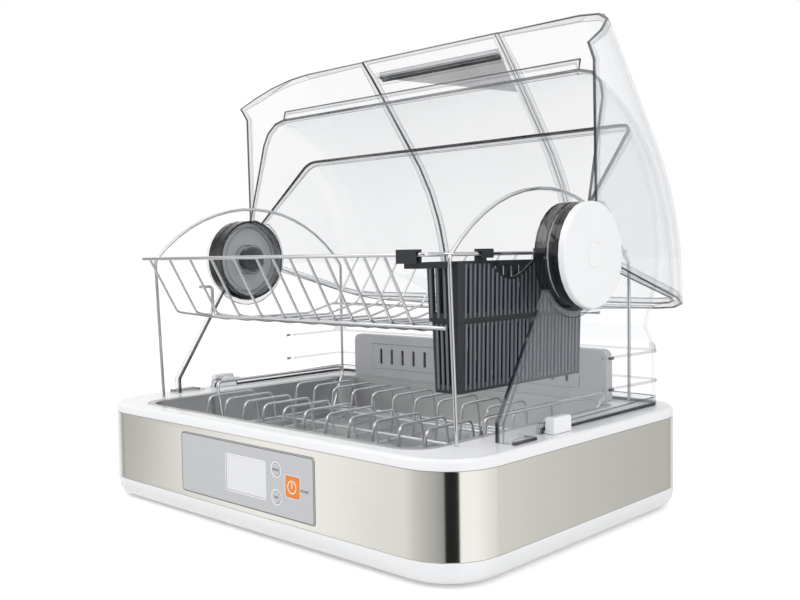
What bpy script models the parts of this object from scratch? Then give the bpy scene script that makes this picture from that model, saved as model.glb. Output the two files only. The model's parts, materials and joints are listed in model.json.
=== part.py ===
"""Countertop dish dryer with a three-part clear hood, wire racks and a warm-air base.

Metres, +Z up. The front faces -Y, the floor is Z = 0, and the origin is under the middle of
the whole object with its hood turned open. Every place is worked out from the named sizes.
"""
from math import atan2, cos, pi, radians, sin, sqrt, tan

import bmesh
import bpy
from mathutils import Vector

for thing in list(bpy.data.objects):
    bpy.data.objects.remove(thing, do_unlink=True)

MM = 0.001

# Gaps between separate pieces, and how far a cut runs past what it cuts
SEAT_GAP = 0.3 * MM
RUN_GAP = 0.4 * MM
OVERRUN = 5 * MM
TOLERANCE = 1 * MM

# Base: a moulded pan, a thin steel band round it and a moulded rim on top
BASE_WIDTH = 500 * MM
BASE_DEPTH = 364 * MM
BASE_CORNER = 50 * MM
PAN_BOTTOM = 2 * MM
PAN_TUCK = 10 * MM
PAN_TUCK_HEIGHT = 16 * MM
PAN_FLOOR = 3 * MM
PAN_LIP = 2.7 * MM
PAN_WALL = 2.5 * MM
BAND_HEIGHT = 68 * MM
BAND_THICKNESS = 1.2 * MM
RIM_HEIGHT = 9 * MM
RIM_ROUND = 4 * MM
RIM_SKIRT = 2.4 * MM
RIM_SKIRT_DEPTH = 9 * MM
RIM_PLATE = 4 * MM
CORNER_STEPS = 5
SMALL_CORNER_STEPS = 3
WIRE_CORNER_STEPS = 2

PAN_TOP_LIP = PAN_BOTTOM + PAN_TUCK_HEIGHT
BAND_BOTTOM = PAN_TOP_LIP + PAN_LIP + SEAT_GAP
BAND_TOP = BAND_BOTTOM + BAND_HEIGHT
RIM_BOTTOM = BAND_TOP + SEAT_GAP
DECK_TOP = RIM_BOTTOM + RIM_HEIGHT
PAN_FLOOR_TOP = PAN_BOTTOM + PAN_FLOOR

# Opening in the rim, and the steel tray that hangs in it
OPENING_SIDE_LAND = 56 * MM
OPENING_WIDTH = BASE_WIDTH - 2 * OPENING_SIDE_LAND
OPENING_FRONT_LAND = 22 * MM
OPENING_REAR_LAND = 54 * MM
OPENING_CORNER = 22 * MM
LEDGE_WIDTH = 6 * MM
LEDGE_DEPTH = 1.8 * MM
TRAY_WALL = 1.2 * MM
TRAY_DEPTH = 42 * MM
TRAY_TAPER = 5 * MM
TRAY_BEND = 5 * MM
TRAY_SLACK = 0.8 * MM
DRAIN_RIB = 2.2 * MM
DRAIN_RIB_COUNT = 7

# Hood: three shells round one hinge line. Radii run out from the fixed rear cover.
HINGE_HEIGHT = 246.5 * MM
HINGE_SETBACK = 5 * MM
SHELL_WALL = 2.2 * MM
HUB_RADIUS = 46 * MM
REAR_RADIUS = 158 * MM
REAR_CORNER = 12 * MM
MIDDLE_CLEARANCE = 13 * MM
MIDDLE_FLARE = 21 * MM
MIDDLE_CORNER = 30 * MM
MIDDLE_LIP = 10 * MM
LID_CLEARANCE = 20 * MM
LID_FLARE = 24 * MM
LID_CORNER = 50 * MM
LID_LIP = 8 * MM
LID_FRONT_REACH = 176 * MM
LID_EDGE_GAP = 1 * MM
THROAT_ANGLE = 41
SHELL_REAR_ANGLE = -15.5
MIDDLE_FRONT_ANGLE = 76
REAR_TOP_ANGLE = 51
REAR_SKIRT_ANGLE = -8
LID_LAST_ANGLE = 83
LID_TRAVEL = 146
MIDDLE_TRAVEL = 60
ARC_STEPS = 10
ROUND_STEPS = 3
CUT_ANGLE = 8
SLANT_ANGLE = 56.8
SLANT_OFFSET = 14.8 * MM
COVER_FRONT_RISE = 16.3 * MM
COVER_FOOT_REAR = 151 * MM
WAIST_SHARE = 0.53415
WAIST_REACH = 136 * MM
SHOULDER_DROP = 18 * MM
SHOULDER_REACH = 150 * MM
EDGE_FLANGE = 6 * MM
LID_STEP = 1.4 * MM
LID_PANEL_HALF = 97 * MM
GRIP_LENGTH = 168 * MM
GRIP_WIDTH = 8 * MM
GRIP_PROUD = 2 * MM
GRIP_ANGLE = 67
BEAD_SHARES = (0.3934, 0.8689)
BEAD_FRONT = 49 * MM
BEAD_WIDTH = 2.4 * MM
BEAD_PROUD = 0.9 * MM

# Hinge stack, from the inside out
BOSS_INSET = 30 * MM
BOSS_THICKNESS = 10.6 * MM
SPACER_THICKNESS = 2.6 * MM
SPACER_SHRINK = 2 * MM
HUB_THICKNESS = 4.4 * MM
CAP_THICKNESS = 6.4 * MM
CAP_ROUND = 2 * MM
CAP_RING = 11 * MM
CAP_RING_WIDTH = 0.8 * MM
CAP_RING_DEPTH = 0.5 * MM
PIN_RADIUS = 9 * MM
PIN_HEAD_RADIUS = 15 * MM
PIN_HEAD_THICKNESS = 3 * MM
PIN_CLEARANCE = 0.4 * MM
ROUND_SIDES = 28
SMALL_SIDES = 14
SCREW_SIDES = 8

# Foot tabs of the rear cover and the clips that hold it
TAB_LENGTH = 30 * MM
TAB_WIDTH = 11 * MM
TAB_THICKNESS = 2.4 * MM
CLIP_LENGTH = 26 * MM
CLIP_WIDTH = 9 * MM
CLIP_HEIGHT = 14 * MM
CLIP_SETBACK = -30.5 * MM
CLIP_BRIDGE = 2.4 * MM
CLIP_FIT = 0.5 * MM
CLIP_ROUND = 2 * MM
CLIP_GAP = 1 * MM
CLIP_EAR_RADIUS = 12 * MM
CLIP_EAR_THICKNESS = 2.5 * MM

# Control panel on the front face
PANEL_LEFT = -93.5 * MM
PANEL_WIDTH = 192 * MM
PANEL_HEIGHT = 57 * MM
PANEL_RISE = 5 * MM
PANEL_CORNER = 3 * MM
PANEL_THICKNESS = 2 * MM
PANEL_PROUD = 0.8 * MM
PANEL_FIT = 0.4 * MM
WINDOW_INSET = 4 * MM
DISPLAY_LEFT = 71 * MM
DISPLAY_WIDTH = 57 * MM
DISPLAY_HEIGHT = 33 * MM
DISPLAY_CORNER = 1.5 * MM
DISPLAY_RECESS = 0.3 * MM
BUTTON_COLUMN = 143 * MM
BUTTON_RADIUS = 5.5 * MM
BUTTON_SPREAD = 24 * MM
BUTTON_PROUD = 0.6 * MM
BUTTON_TRAVEL = 0.8 * MM
BUTTON_STEM_RADIUS = 3 * MM
BUTTON_STEM = 4 * MM
POWER_COLUMN = 164.5 * MM
POWER_SIZE = 18 * MM
POWER_CORNER = 2.5 * MM
BOARD_THICKNESS = 1.6 * MM
SWITCH_SIZE = 6 * MM
SWITCH_HEIGHT = 3 * MM

# Warm-air unit behind the tray
DUCT_SIDE_LAND = 68 * MM
DUCT_WIDTH = BASE_WIDTH - 2 * DUCT_SIDE_LAND
DUCT_THICKNESS = 12 * MM
DUCT_HEIGHT = 52 * MM
DUCT_CORNER = 8 * MM
DUCT_WALL = 2 * MM
DUCT_SETBACK = 6.5 * MM
THROAT_WIDTH = 120 * MM
GRILLE_MARGIN = 32 * MM
GRILLE_WIDTH = DUCT_WIDTH - 2 * GRILLE_MARGIN
GRILLE_HEIGHT = 30 * MM
GRILLE_THICKNESS = 1.6 * MM
GRILLE_LIP = 3 * MM
GRILLE_SLOT_COUNT = 16
SLOT_WIDTH = 4 * MM
SLOT_PITCH = 10 * MM
FAN_RADIUS = 15 * MM
FAN_SETBACK = 35 * MM
FAN_LENGTH = 110 * MM
FAN_AXIS_HEIGHT = 42 * MM
FAN_HUB_THICKNESS = 2 * MM
FAN_BLADES = 12
FAN_BLADE_DEPTH = 5 * MM
FAN_RIM = 1 * MM
FAN_BLADE_THICKNESS = 0.9 * MM
FAN_BLADE_SLANT = 35
FAN_SHAFT_END = 4 * MM
MOTOR_GAP = 12 * MM
SHAFT_RADIUS = 2 * MM
FAN_SIDE_GAP = 3 * MM
BRACKET_THICKNESS = 2.5 * MM
MOTOR_LENGTH = 34 * MM
MOTOR_RADIUS = 16 * MM
HEATER_HEIGHT = 16 * MM
HEATER_DEPTH = 22 * MM
HEATER_FIN_PITCH = 10 * MM
HEATER_FIN_THICKNESS = 0.8 * MM
HEATER_BAR = 3.5 * MM
HEATER_END = 8 * MM
HEATER_PLATE = 2 * MM
HEATER_LIFT = 5 * MM
SCOOP_WALL = 2 * MM
SCOOP_GAP = 2.5 * MM
BOARD_LENGTH = 96 * MM
BOARD_DEPTH = 34 * MM
BOARD_INSET = 80 * MM
BOARD_LEFT = BOARD_INSET - BASE_WIDTH / 2
STANDOFF_HEIGHT = 8 * MM
STANDOFF_RADIUS = 3 * MM
STANDOFF_SHARE = 0.8
BOARD_CLEARANCE = 12 * MM
# Start, length, depth and height of the parts on the power board
BOARD_PARTS = ((6 * MM, 26 * MM, 22 * MM, 20 * MM), (38 * MM, 14 * MM, 14 * MM, 24 * MM),
               (58 * MM, 12 * MM, 18 * MM, 14 * MM), (78 * MM, 10 * MM, 20 * MM, 12 * MM))
INTAKE_SLOT_COUNT = 9
INTAKE_SLOT_LENGTH = 24 * MM
FILTER_THICKNESS = 2.5 * MM
GLAND_INSET = 75 * MM
GLAND_PLACE = BASE_WIDTH / 2 - GLAND_INSET
GLAND_HEIGHT = 48 * MM
GLAND_RADIUS = 8 * MM
GLAND_FLANGE = 11 * MM
GLAND_FLANGE_THICKNESS = 2 * MM
GLAND_BORE = 3.6 * MM

# Feet and screws under the pan
FOOT_RADIUS = 9 * MM
FOOT_INSET = 52 * MM
FOOT_SOCKET = 1 * MM
SCREW_HEAD_RADIUS = 3.4 * MM
SCREW_HEAD_HEIGHT = 2.2 * MM
SCREW_SHANK_RADIUS = 1.6 * MM
SCREW_LENGTH = 20 * MM
SCREW_BOSS_RADIUS = 7 * MM
SCREW_BOSS_HEIGHT = 14 * MM
SCREW_RECESS = 4 * MM
SCREW_INSET = 31 * MM
SCREW_COLUMN = BASE_WIDTH / 2 - SCREW_INSET
SCREW_END_INSET = 82 * MM
SCREW_ROW = BASE_DEPTH / 2 - SCREW_END_INSET
POST_RADIUS = 5 * MM

# Upper wire rack
WIRE_SIDES = 5
WIRE_STEPS = 1
FRAME_STEPS = 2
WELD_SHARE = 0.4
FRAME_WIRE = 1.75 * MM
PLATE_WIRE = 1.3 * MM
LOOP_INSET = 50 * MM
LOOP_HALF_WIDTH = BASE_WIDTH / 2 - LOOP_INSET
LOOP_FRONT = 156 * MM
LOOP_REAR = 147 * MM
LOOP_HEIGHT = 249 * MM
LOOP_CORNER = 6 * MM
LEG_FRONT = 129 * MM
LEG_LEAN = 6 * MM
LEG_REAR = 136 * MM
LEG_SPREAD = 7 * MM
LEG_HALF_WIDTH = LOOP_HALF_WIDTH + LEG_SPREAD
ARCH_RISE = 56 * MM
ARCH_TOP = LOOP_HEIGHT + ARCH_RISE
ARCH_RADIUS = 178 * MM
ARCH_CENTRE = -3.5 * MM
LEG_BEND = 12 * MM
PLATE_FIRST_SHARE = -0.03
PLATE_MARGIN = 2.5 * MM
PLATE_COUNT = 8
BOWL_SHARES = (-0.92, -0.2)
BOWL_COUNT = 5
CRADLE_FRONT = 124 * MM
CRADLE_REAR = 106 * MM
CRADLE_DROP = 57 * MM
CRADLE_HEIGHT = LOOP_HEIGHT - CRADLE_DROP
CRADLE_SAG = 11 * MM
CRADLE_FLAT = 60 * MM
CRADLE_BEND = 4 * MM
RAIL_INSET = 8 * MM
RAIL_HALF = LOOP_HALF_WIDTH - RAIL_INSET
RISER_SHARE = -0.6
RISER_HEIGHT = 30 * MM
RISER_BEND = 3.5 * MM
RISER_WIRE = 2
ARCH_STEPS = 7

# Lower wire rack
GRID_INSET = 16 * MM
GRID_HALF_WIDTH = OPENING_WIDTH / 2 - GRID_INSET
GRID_FRONT = 138 * MM
GRID_REAR = 108 * MM
GRID_HEIGHT = 62 * MM
GRID_CORNER = 14 * MM
FINGER_COUNT = 11
FINGER_MARGIN = 23 * MM
FINGER_PITCH = 2 * (GRID_HALF_WIDTH - FINGER_MARGIN) / (FINGER_COUNT - 1)
FINGER_HEIGHT = 40 * MM
FINGER_HALF = 36 * MM
FINGER_BEND = 8 * MM
FINGER_ROWS = (-76 * MM, 46 * MM)
HANDLE_FRONT = 72 * MM
HANDLE_REAR = 122 * MM
HANDLE_RISE = 48.5 * MM
HANDLE_TOP = GRID_HEIGHT + HANDLE_RISE
HANDLE_SPREAD = 11 * MM
HANDLE_REACH = GRID_HALF_WIDTH + HANDLE_SPREAD
HANDLE_BEND = 7 * MM
RACK_FOOT_RADIUS = 3 * MM
RACK_FOOT_INSET = 58 * MM
RACK_FOOT_COLUMN = GRID_HALF_WIDTH - RACK_FOOT_INSET
FOOT_SIDES = 10
FINGER_LEAN = 6 * MM

# Cutlery basket on the upper rack's right side wire
BASKET_LENGTH = 190 * MM
BASKET_WIDTH = 37 * MM
BASKET_WALL = 1.8 * MM
BASKET_FRONT = 112 * MM
BASKET_INSET = 3.4 * MM
BASKET_RIGHT = LOOP_HALF_WIDTH - BASKET_INSET
BASKET_DROP = 6 * MM
BASKET_TOP = LOOP_HEIGHT - BASKET_DROP
BASKET_TIER = 49 * MM
BASKET_BAND = BASKET_TOP - BASKET_TIER
BASKET_DEPTH = 108 * MM
BASKET_BOTTOM = BASKET_TOP - BASKET_DEPTH
BASKET_STEP = 2 * MM
BASKET_DRAFT = 3 * MM
BASKET_CORNER = 6 * MM
BASKET_SLOT = 3.2 * MM
BASKET_SLOT_COUNT = 15
BASKET_END_SLOT_COUNT = 3
BASKET_RAIL = 5 * MM
BASKET_DIP_DEPTH = 14 * MM
BASKET_DIP_MARGIN = 2 * MM
BASKET_DIP_STEPS = 8
HOOK_PLACES = (-82 * MM, 0, 75 * MM)
HOOK_LENGTH = 14 * MM
HOOK_WALL = 2 * MM
HOOK_BLOCK_LENGTH = 20 * MM
HOOK_BLOCK_HEIGHT = 11 * MM

# Places that follow from the sizes. The lid's front edge comes down on the rim's front land.
LID_DROP = HINGE_HEIGHT - DECK_TOP - LID_EDGE_GAP
LID_REACH = LID_FRONT_REACH + HINGE_SETBACK
LID_FRONT_RADIUS = sqrt(LID_REACH ** 2 + LID_DROP ** 2)
HALF_TURN = 180
LID_FRONT_ANGLE = HALF_TURN + atan2(LID_DROP, LID_REACH) * HALF_TURN / pi - LID_TRAVEL
MIDDLE_RADIUS = REAR_RADIUS + MIDDLE_CLEARANCE + SHELL_WALL
LID_RADIUS = MIDDLE_RADIUS + LID_CLEARANCE + SHELL_WALL


def polar(radius, angle):
    """A point (y, z) at a radius and an angle in degrees up from +Y."""
    return radius * cos(radians(angle)), radius * sin(radians(angle))


def flared(angle, least, rear_flare, front_flare, front_angle):
    """A shell's radius: least at the throat angle, opening out to both its ends."""
    if angle < THROAT_ANGLE:
        share = (THROAT_ANGLE - angle) / (THROAT_ANGLE - SHELL_REAR_ANGLE)
        return least + rear_flare * share ** 2
    share = (angle - THROAT_ANGLE) / (front_angle - THROAT_ANGLE)
    return least + front_flare * share ** 2


def lid_radius(angle):
    return flared(angle, LID_RADIUS, LID_FLARE, LID_FRONT_RADIUS - LID_RADIUS, LID_FRONT_ANGLE)


def middle_radius(angle):
    return flared(angle, MIDDLE_RADIUS, MIDDLE_FLARE, 0, MIDDLE_FRONT_ANGLE)


def arc(radius_of, first, last, steps=ARC_STEPS):
    """Points (y, z) along a shell from one angle to another."""
    angles = [first + (last - first) * step / steps for step in range(steps + 1)]
    return [polar(radius_of(angle), angle) for angle in angles]


# The base stands as far forward as the open lid reaches back, so that the origin is central
LID_REAR_REACH = max(y for y, z in arc(lid_radius, SHELL_REAR_ANGLE, THROAT_ANGLE))
BASE_Y = -(LID_REAR_REACH + HINGE_SETBACK + LID_STEP - BASE_DEPTH / 2 - PANEL_PROUD) / 2
BASE_FRONT = BASE_Y - BASE_DEPTH / 2
BASE_REAR = BASE_Y + BASE_DEPTH / 2
HINGE_Y = BASE_Y + HINGE_SETBACK

# Planes of the hinge stack along X
BOSS_INNER = BASE_WIDTH / 2 - BOSS_INSET
BOSS_OUTER = BOSS_INNER + BOSS_THICKNESS
SPACER_INNER = BOSS_OUTER + RUN_GAP
SPACER_OUTER = SPACER_INNER + SPACER_THICKNESS
MIDDLE_INNER = SPACER_OUTER + RUN_GAP
MIDDLE_OUTER = MIDDLE_INNER + HUB_THICKNESS
LID_INNER = MIDDLE_OUTER + RUN_GAP
LID_OUTER = LID_INNER + HUB_THICKNESS
CAP_INNER = LID_OUTER + RUN_GAP
CAP_OUTER = CAP_INNER + CAP_THICKNESS
REAR_PLATE = BOSS_OUTER - RUN_GAP
MIDDLE_PLATE = MIDDLE_OUTER - RUN_GAP
LID_PLATE = LID_OUTER - RUN_GAP


def material(name, colour, roughness, metallic=0.0, alpha=1.0):
    """A Principled material, from an sRGB colour in hex."""
    parts = [int(colour[place:place + 2], 16) / 255 for place in (0, 2, 4)]
    linear = [part / 12.92 if part <= 0.04045 else ((part + 0.055) / 1.055) ** 2.4
              for part in parts]
    finish = bpy.data.materials.new(name)
    finish.use_nodes = True
    shader = finish.node_tree.nodes["Principled BSDF"]
    shader.inputs["Base Color"].default_value = (*linear, 1.0)
    shader.inputs["Roughness"].default_value = roughness
    shader.inputs["Metallic"].default_value = metallic
    shader.inputs["Alpha"].default_value = alpha
    finish.diffuse_color = (*linear, alpha)
    return finish


WHITE_ABS = material("white_abs", "F4F5F6", 0.32)
BAND_STEEL = material("band_steel", "C9C4BA", 0.3, 1.0)
TRAY_STEEL = material("tray_steel", "BFC0C0", 0.35, 1.0)
PANEL_METAL = material("panel_metal", "B4B4B8", 0.38, 0.8)
PALE_WINDOW = material("pale_window", "E9EAEC", 0.2)
PALE_BUTTON = material("pale_button", "DADADD", 0.4)
ORANGE = material("orange_button", "F08A1C", 0.35)
CLEAR = material("clear_acrylic", "E8EEF4", 0.05, 0.0, 0.3)
CHROME = material("chromed_wire", "D9D9DC", 0.15, 1.0)
DARK_PP = material("dark_polypropylene", "3A3F46", 0.5)
RUBBER = material("grey_rubber", "6C6E70", 0.8)
GREY_ABS = material("grey_abs", "BDBEC0", 0.45)
BLACK_PA = material("black_nylon", "1E1F21", 0.5)
ALUMINIUM = material("aluminium", "B9BBBD", 0.4, 1.0)
ZINC = material("zinc_steel", "A9ABAD", 0.4, 1.0)
CIRCUIT = material("circuit_board", "1E6B3C", 0.5)
FOAM = material("filter_foam", "55585B", 0.95)


def finish_mesh(bm, name):
    """Turn a bmesh into a mesh with its faces pointing outwards."""
    bmesh.ops.recalc_face_normals(bm, faces=bm.faces)
    mesh = bpy.data.meshes.new(name)
    bm.to_mesh(mesh)
    bm.free()
    return mesh


def body(name, mesh):
    """A loose object to build with, before it gets its node's name and material."""
    thing = bpy.data.objects.new(name, mesh)
    bpy.context.scene.collection.objects.link(thing)
    return thing


def settle(thing, name, finish, smooth_angle=30):
    """Name a finished piece, give it its material and shade its round faces smooth."""
    thing.name = name
    thing.data.name = name
    thing.data.materials.clear()
    thing.data.materials.append(finish)
    thing.data.shade_smooth()
    thing.data.set_sharp_from_angle(angle=radians(smooth_angle))
    return thing


def loft(name, rings, closed=False):
    """A solid skin over rings of the same count; open ends are capped."""
    bm = bmesh.new()
    rows = [[bm.verts.new(point) for point in ring] for ring in rings]
    pairs = list(zip(rows, rows[1:]))
    if closed:
        pairs.append((rows[-1], rows[0]))
    for lower, upper in pairs:
        for place in range(len(lower)):
            after = (place + 1) % len(lower)
            bm.faces.new((lower[place], lower[after], upper[after], upper[place]))
    if not closed:
        bm.faces.new(rows[0][::-1])
        bm.faces.new(rows[-1])
    return body(name, finish_mesh(bm, name))


def prism(name, outline, low, high, axis="z"):
    """An outline pushed along an axis; it is (x, y) for z, (y, z) for x and (x, z) for y."""
    places = {"z": lambda a, b, c: (a, b, c), "x": lambda a, b, c: (c, a, b),
              "y": lambda a, b, c: (a, c, b)}
    put = places[axis]
    return loft(name, [[put(a, b, level) for a, b in outline] for level in (low, high)])


def box(name, low, high):
    """A plain box between two corners."""
    outline = [(low[0], low[1]), (high[0], low[1]), (high[0], high[1]), (low[0], high[1])]
    return prism(name, outline, low[2], high[2])


def circle(centre, radius, sides=SMALL_SIDES):
    """Points of a circle round a centre in its own plane."""
    turns = [2 * pi * side / sides for side in range(sides)]
    return [(centre[0] + radius * cos(turn), centre[1] + radius * sin(turn)) for turn in turns]


def rounded(half_x, half_y, radius, centre=(0, 0), steps=CORNER_STEPS):
    """A rectangle with round corners, anticlockwise from its right side."""
    points = []
    for quarter, (side_x, side_y) in enumerate(((1, 1), (-1, 1), (-1, -1), (1, -1))):
        middle_x = centre[0] + side_x * (half_x - radius)
        middle_y = centre[1] + side_y * (half_y - radius)
        for step in range(steps + 1):
            turn = (quarter + step / steps) * pi / 2
            points.append((middle_x + radius * cos(turn), middle_y + radius * sin(turn)))
    return points


def ring_at(outline, height):
    return [(x, y, height) for x, y in outline]


def combine(target, tools, operation):
    """Boolean a target with its tools, and take the tools away."""
    cutters = bpy.data.collections.new("tools")
    bpy.context.scene.collection.children.link(cutters)
    for tool in tools:
        bpy.context.scene.collection.objects.unlink(tool)
        cutters.objects.link(tool)
    step = target.modifiers.new("combine", "BOOLEAN")
    step.operation = operation
    step.solver = "EXACT"
    step.operand_type = "COLLECTION"
    step.collection = cutters
    evaluated = target.evaluated_get(bpy.context.evaluated_depsgraph_get())
    mesh = bpy.data.meshes.new_from_object(evaluated)
    target.modifiers.clear()
    target.data = mesh
    for tool in tools:
        bpy.data.objects.remove(tool, do_unlink=True)
    bpy.data.collections.remove(cutters)
    return target


def cut(target, *tools):
    return combine(target, tools, "DIFFERENCE")


def join(target, *tools):
    return combine(target, tools, "UNION")


def mirrored(thing):
    """A copy on the other side of the middle plane."""
    bm = bmesh.new()
    bm.from_mesh(thing.data)
    for vert in bm.verts:
        vert.co.x = -vert.co.x
    bmesh.ops.reverse_faces(bm, faces=bm.faces)
    mesh = bpy.data.meshes.new("mirrored")
    bm.to_mesh(mesh)
    bm.free()
    return body("mirrored", mesh)


def round_edges(thing, chosen, width, steps=ROUND_STEPS):
    """Round the edges that a test picks from their two end points."""
    bm = bmesh.new()
    bm.from_mesh(thing.data)
    edges = [edge for edge in bm.edges if chosen(*(vert.co for vert in edge.verts))]
    bmesh.ops.bevel(bm, geom=edges, offset=width, segments=steps, profile=0.5,
                    affect="EDGES", clamp_overlap=False)
    bm.to_mesh(thing.data)
    bm.free()
    return thing


def set_origin(thing, place):
    """Move an object's origin to a point, with its mesh left where it is."""
    offset = Vector(place)
    for vert in thing.data.vertices:
        vert.co -= offset
    thing.location = offset
    return thing


# Bottom pan: a tub with a rounded underside, a lip under the band, and a wall inside it
def base_ring(inset, height):
    """The base's outline, drawn in by an inset, at a height."""
    half_x = BASE_WIDTH / 2 - inset
    half_y = BASE_DEPTH / 2 - inset
    return ring_at(rounded(half_x, half_y, BASE_CORNER - inset, (0, BASE_Y)), height)


def vertical_pillar(name, place, radius, low, high, sides=SMALL_SIDES):
    return prism(name, circle(place, radius, sides), low, high)


def at_corners(reach_x, reach_y):
    """Four places round the base's middle, by the name of their corner."""
    return {end_name + "_" + side_name: (side * reach_x, BASE_Y + end * reach_y)
            for end_name, end in (("front", -1), ("rear", 1))
            for side_name, side in (("left", -1), ("right", 1))}


FOOT_PLACES = at_corners(BASE_WIDTH / 2 - FOOT_INSET, BASE_DEPTH / 2 - FOOT_INSET)
SCREW_PLACES = at_corners(SCREW_COLUMN, SCREW_ROW)


WALL_INSET = BAND_THICKNESS + SEAT_GAP
PANEL_X = PANEL_LEFT + PANEL_WIDTH / 2
PANEL_Z = BAND_BOTTOM + PANEL_RISE + PANEL_HEIGHT / 2
PANEL_BACK = BASE_FRONT - PANEL_PROUD + PANEL_THICKNESS
GLAND_SPOT = (GLAND_PLACE, GLAND_HEIGHT)
FAN_Y = BASE_REAR - FAN_SETBACK
INTAKE_LEFT = -(INTAKE_SLOT_COUNT - 1) * SLOT_PITCH / 2


def panel_opening(name, margin, front, back):
    """The hole for the control panel, less a margin all round, through the front wall."""
    outline = rounded(PANEL_WIDTH / 2 - margin, PANEL_HEIGHT / 2 - margin, PANEL_CORNER,
                      (PANEL_X, PANEL_Z))
    return prism(name, outline, front, back, "y")


def make_bottom_pan():
    tuck = []
    for step in range(ROUND_STEPS + 1):
        turn = step / ROUND_STEPS * pi / 2
        tuck.append((PAN_TUCK * (1 - sin(turn)), PAN_BOTTOM + PAN_TUCK_HEIGHT * (1 - cos(turn))))
    rings = [base_ring(inset, height) for inset, height in tuck]
    rings.append(base_ring(0, PAN_TOP_LIP + PAN_LIP))
    rings.append(base_ring(WALL_INSET, PAN_TOP_LIP + PAN_LIP))
    rings.append(base_ring(WALL_INSET, BAND_TOP))
    rings.append(base_ring(WALL_INSET + PAN_WALL, BAND_TOP))
    rings.append(base_ring(WALL_INSET + PAN_WALL, PAN_TOP_LIP))
    rings.append(base_ring(PAN_TUCK + PAN_WALL, PAN_FLOOR_TOP))
    pan = loft("pan", rings)
    bosses = [vertical_pillar("boss", spot, SCREW_BOSS_RADIUS, PAN_BOTTOM + PAN_FLOOR / 2,
                              PAN_FLOOR_TOP + SCREW_BOSS_HEIGHT) for spot in SCREW_PLACES.values()]
    pan = join(pan, *bosses)
    cuts = [panel_opening("panel_hole", WINDOW_INSET, BASE_FRONT - OVERRUN,
                          BASE_FRONT + WALL_INSET + PAN_WALL + OVERRUN)]
    for spot in FOOT_PLACES.values():
        cuts.append(vertical_pillar("socket", spot, FOOT_RADIUS + SEAT_GAP,
                                    PAN_BOTTOM - OVERRUN, PAN_BOTTOM + FOOT_SOCKET))
    for spot in SCREW_PLACES.values():
        cuts.append(vertical_pillar("recess", spot, SCREW_HEAD_RADIUS + 2 * SEAT_GAP,
                                    PAN_BOTTOM - OVERRUN, PAN_BOTTOM + SCREW_RECESS,
                                    SCREW_SIDES))
        cuts.append(vertical_pillar("bore", spot, SCREW_SHANK_RADIUS + 2 * SEAT_GAP, PAN_BOTTOM,
                                    PAN_FLOOR_TOP + SCREW_BOSS_HEIGHT + OVERRUN, SCREW_SIDES))
    for slot in range(INTAKE_SLOT_COUNT):
        x = INTAKE_LEFT + slot * SLOT_PITCH
        cuts.append(box("intake", (x - SLOT_WIDTH / 2, FAN_Y - INTAKE_SLOT_LENGTH / 2,
                                   PAN_BOTTOM - OVERRUN),
                        (x + SLOT_WIDTH / 2, FAN_Y + INTAKE_SLOT_LENGTH / 2,
                         PAN_FLOOR_TOP + OVERRUN)))
    cuts.append(prism("gland_hole", circle(GLAND_SPOT, GLAND_RADIUS + SEAT_GAP),
                      BASE_REAR - WALL_INSET - PAN_WALL - OVERRUN, BASE_REAR + OVERRUN, "y"))
    return settle(cut(pan, *cuts), "bottom_pan", WHITE_ABS)


def make_rubber_feet():
    for corner, spot in FOOT_PLACES.items():
        foot = vertical_pillar("foot", spot, FOOT_RADIUS, 0, PAN_BOTTOM + FOOT_SOCKET - SEAT_GAP)
        settle(foot, "rubber_foot_" + corner, RUBBER)


def make_pan_screws():
    top = PAN_BOTTOM + SCREW_RECESS - SEAT_GAP
    for corner, spot in SCREW_PLACES.items():
        head = vertical_pillar("head", spot, SCREW_HEAD_RADIUS, top - SCREW_HEAD_HEIGHT, top,
                               SCREW_SIDES)
        shank = vertical_pillar("shank", spot, SCREW_SHANK_RADIUS, top - SCREW_HEAD_HEIGHT / 2,
                                top + SCREW_LENGTH, SCREW_SIDES)
        settle(join(head, shank), "pan_screw_" + corner, ZINC)


def make_steel_band():
    rings = [base_ring(0, BAND_BOTTOM), base_ring(0, BAND_TOP),
             base_ring(BAND_THICKNESS, BAND_TOP), base_ring(BAND_THICKNESS, BAND_BOTTOM)]
    band = loft("band", rings, closed=True)
    cuts = [panel_opening("panel_hole", -PANEL_FIT, BASE_FRONT - OVERRUN,
                          BASE_FRONT + BAND_THICKNESS + SEAT_GAP / 2),
            prism("gland_hole", circle(GLAND_SPOT, GLAND_RADIUS + SEAT_GAP),
                  BASE_REAR - WALL_INSET, BASE_REAR + OVERRUN, "y")]
    return settle(cut(band, *cuts), "steel_band", BAND_STEEL)


# Rim: a deck plate with a skirt inside the pan's wall and an opening with a ledge
OPENING_FRONT = BASE_FRONT + OPENING_FRONT_LAND
OPENING_REAR = BASE_REAR - OPENING_REAR_LAND
OPENING_Y = (OPENING_FRONT + OPENING_REAR) / 2
OPENING_DEPTH = OPENING_REAR - OPENING_FRONT
SKIRT_INSET = WALL_INSET + PAN_WALL + SEAT_GAP
LEDGE_TOP = DECK_TOP - LEDGE_DEPTH
DUCT_FRONT = OPENING_REAR + DUCT_SETBACK
DUCT_BACK = DUCT_FRONT + DUCT_THICKNESS


def opening_ring(inset, height):
    """The opening's outline, drawn in by an inset, at a height."""
    return ring_at(rounded(OPENING_WIDTH / 2 - inset, OPENING_DEPTH / 2 - inset,
                           OPENING_CORNER - inset, (0, OPENING_Y)), height)


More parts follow.
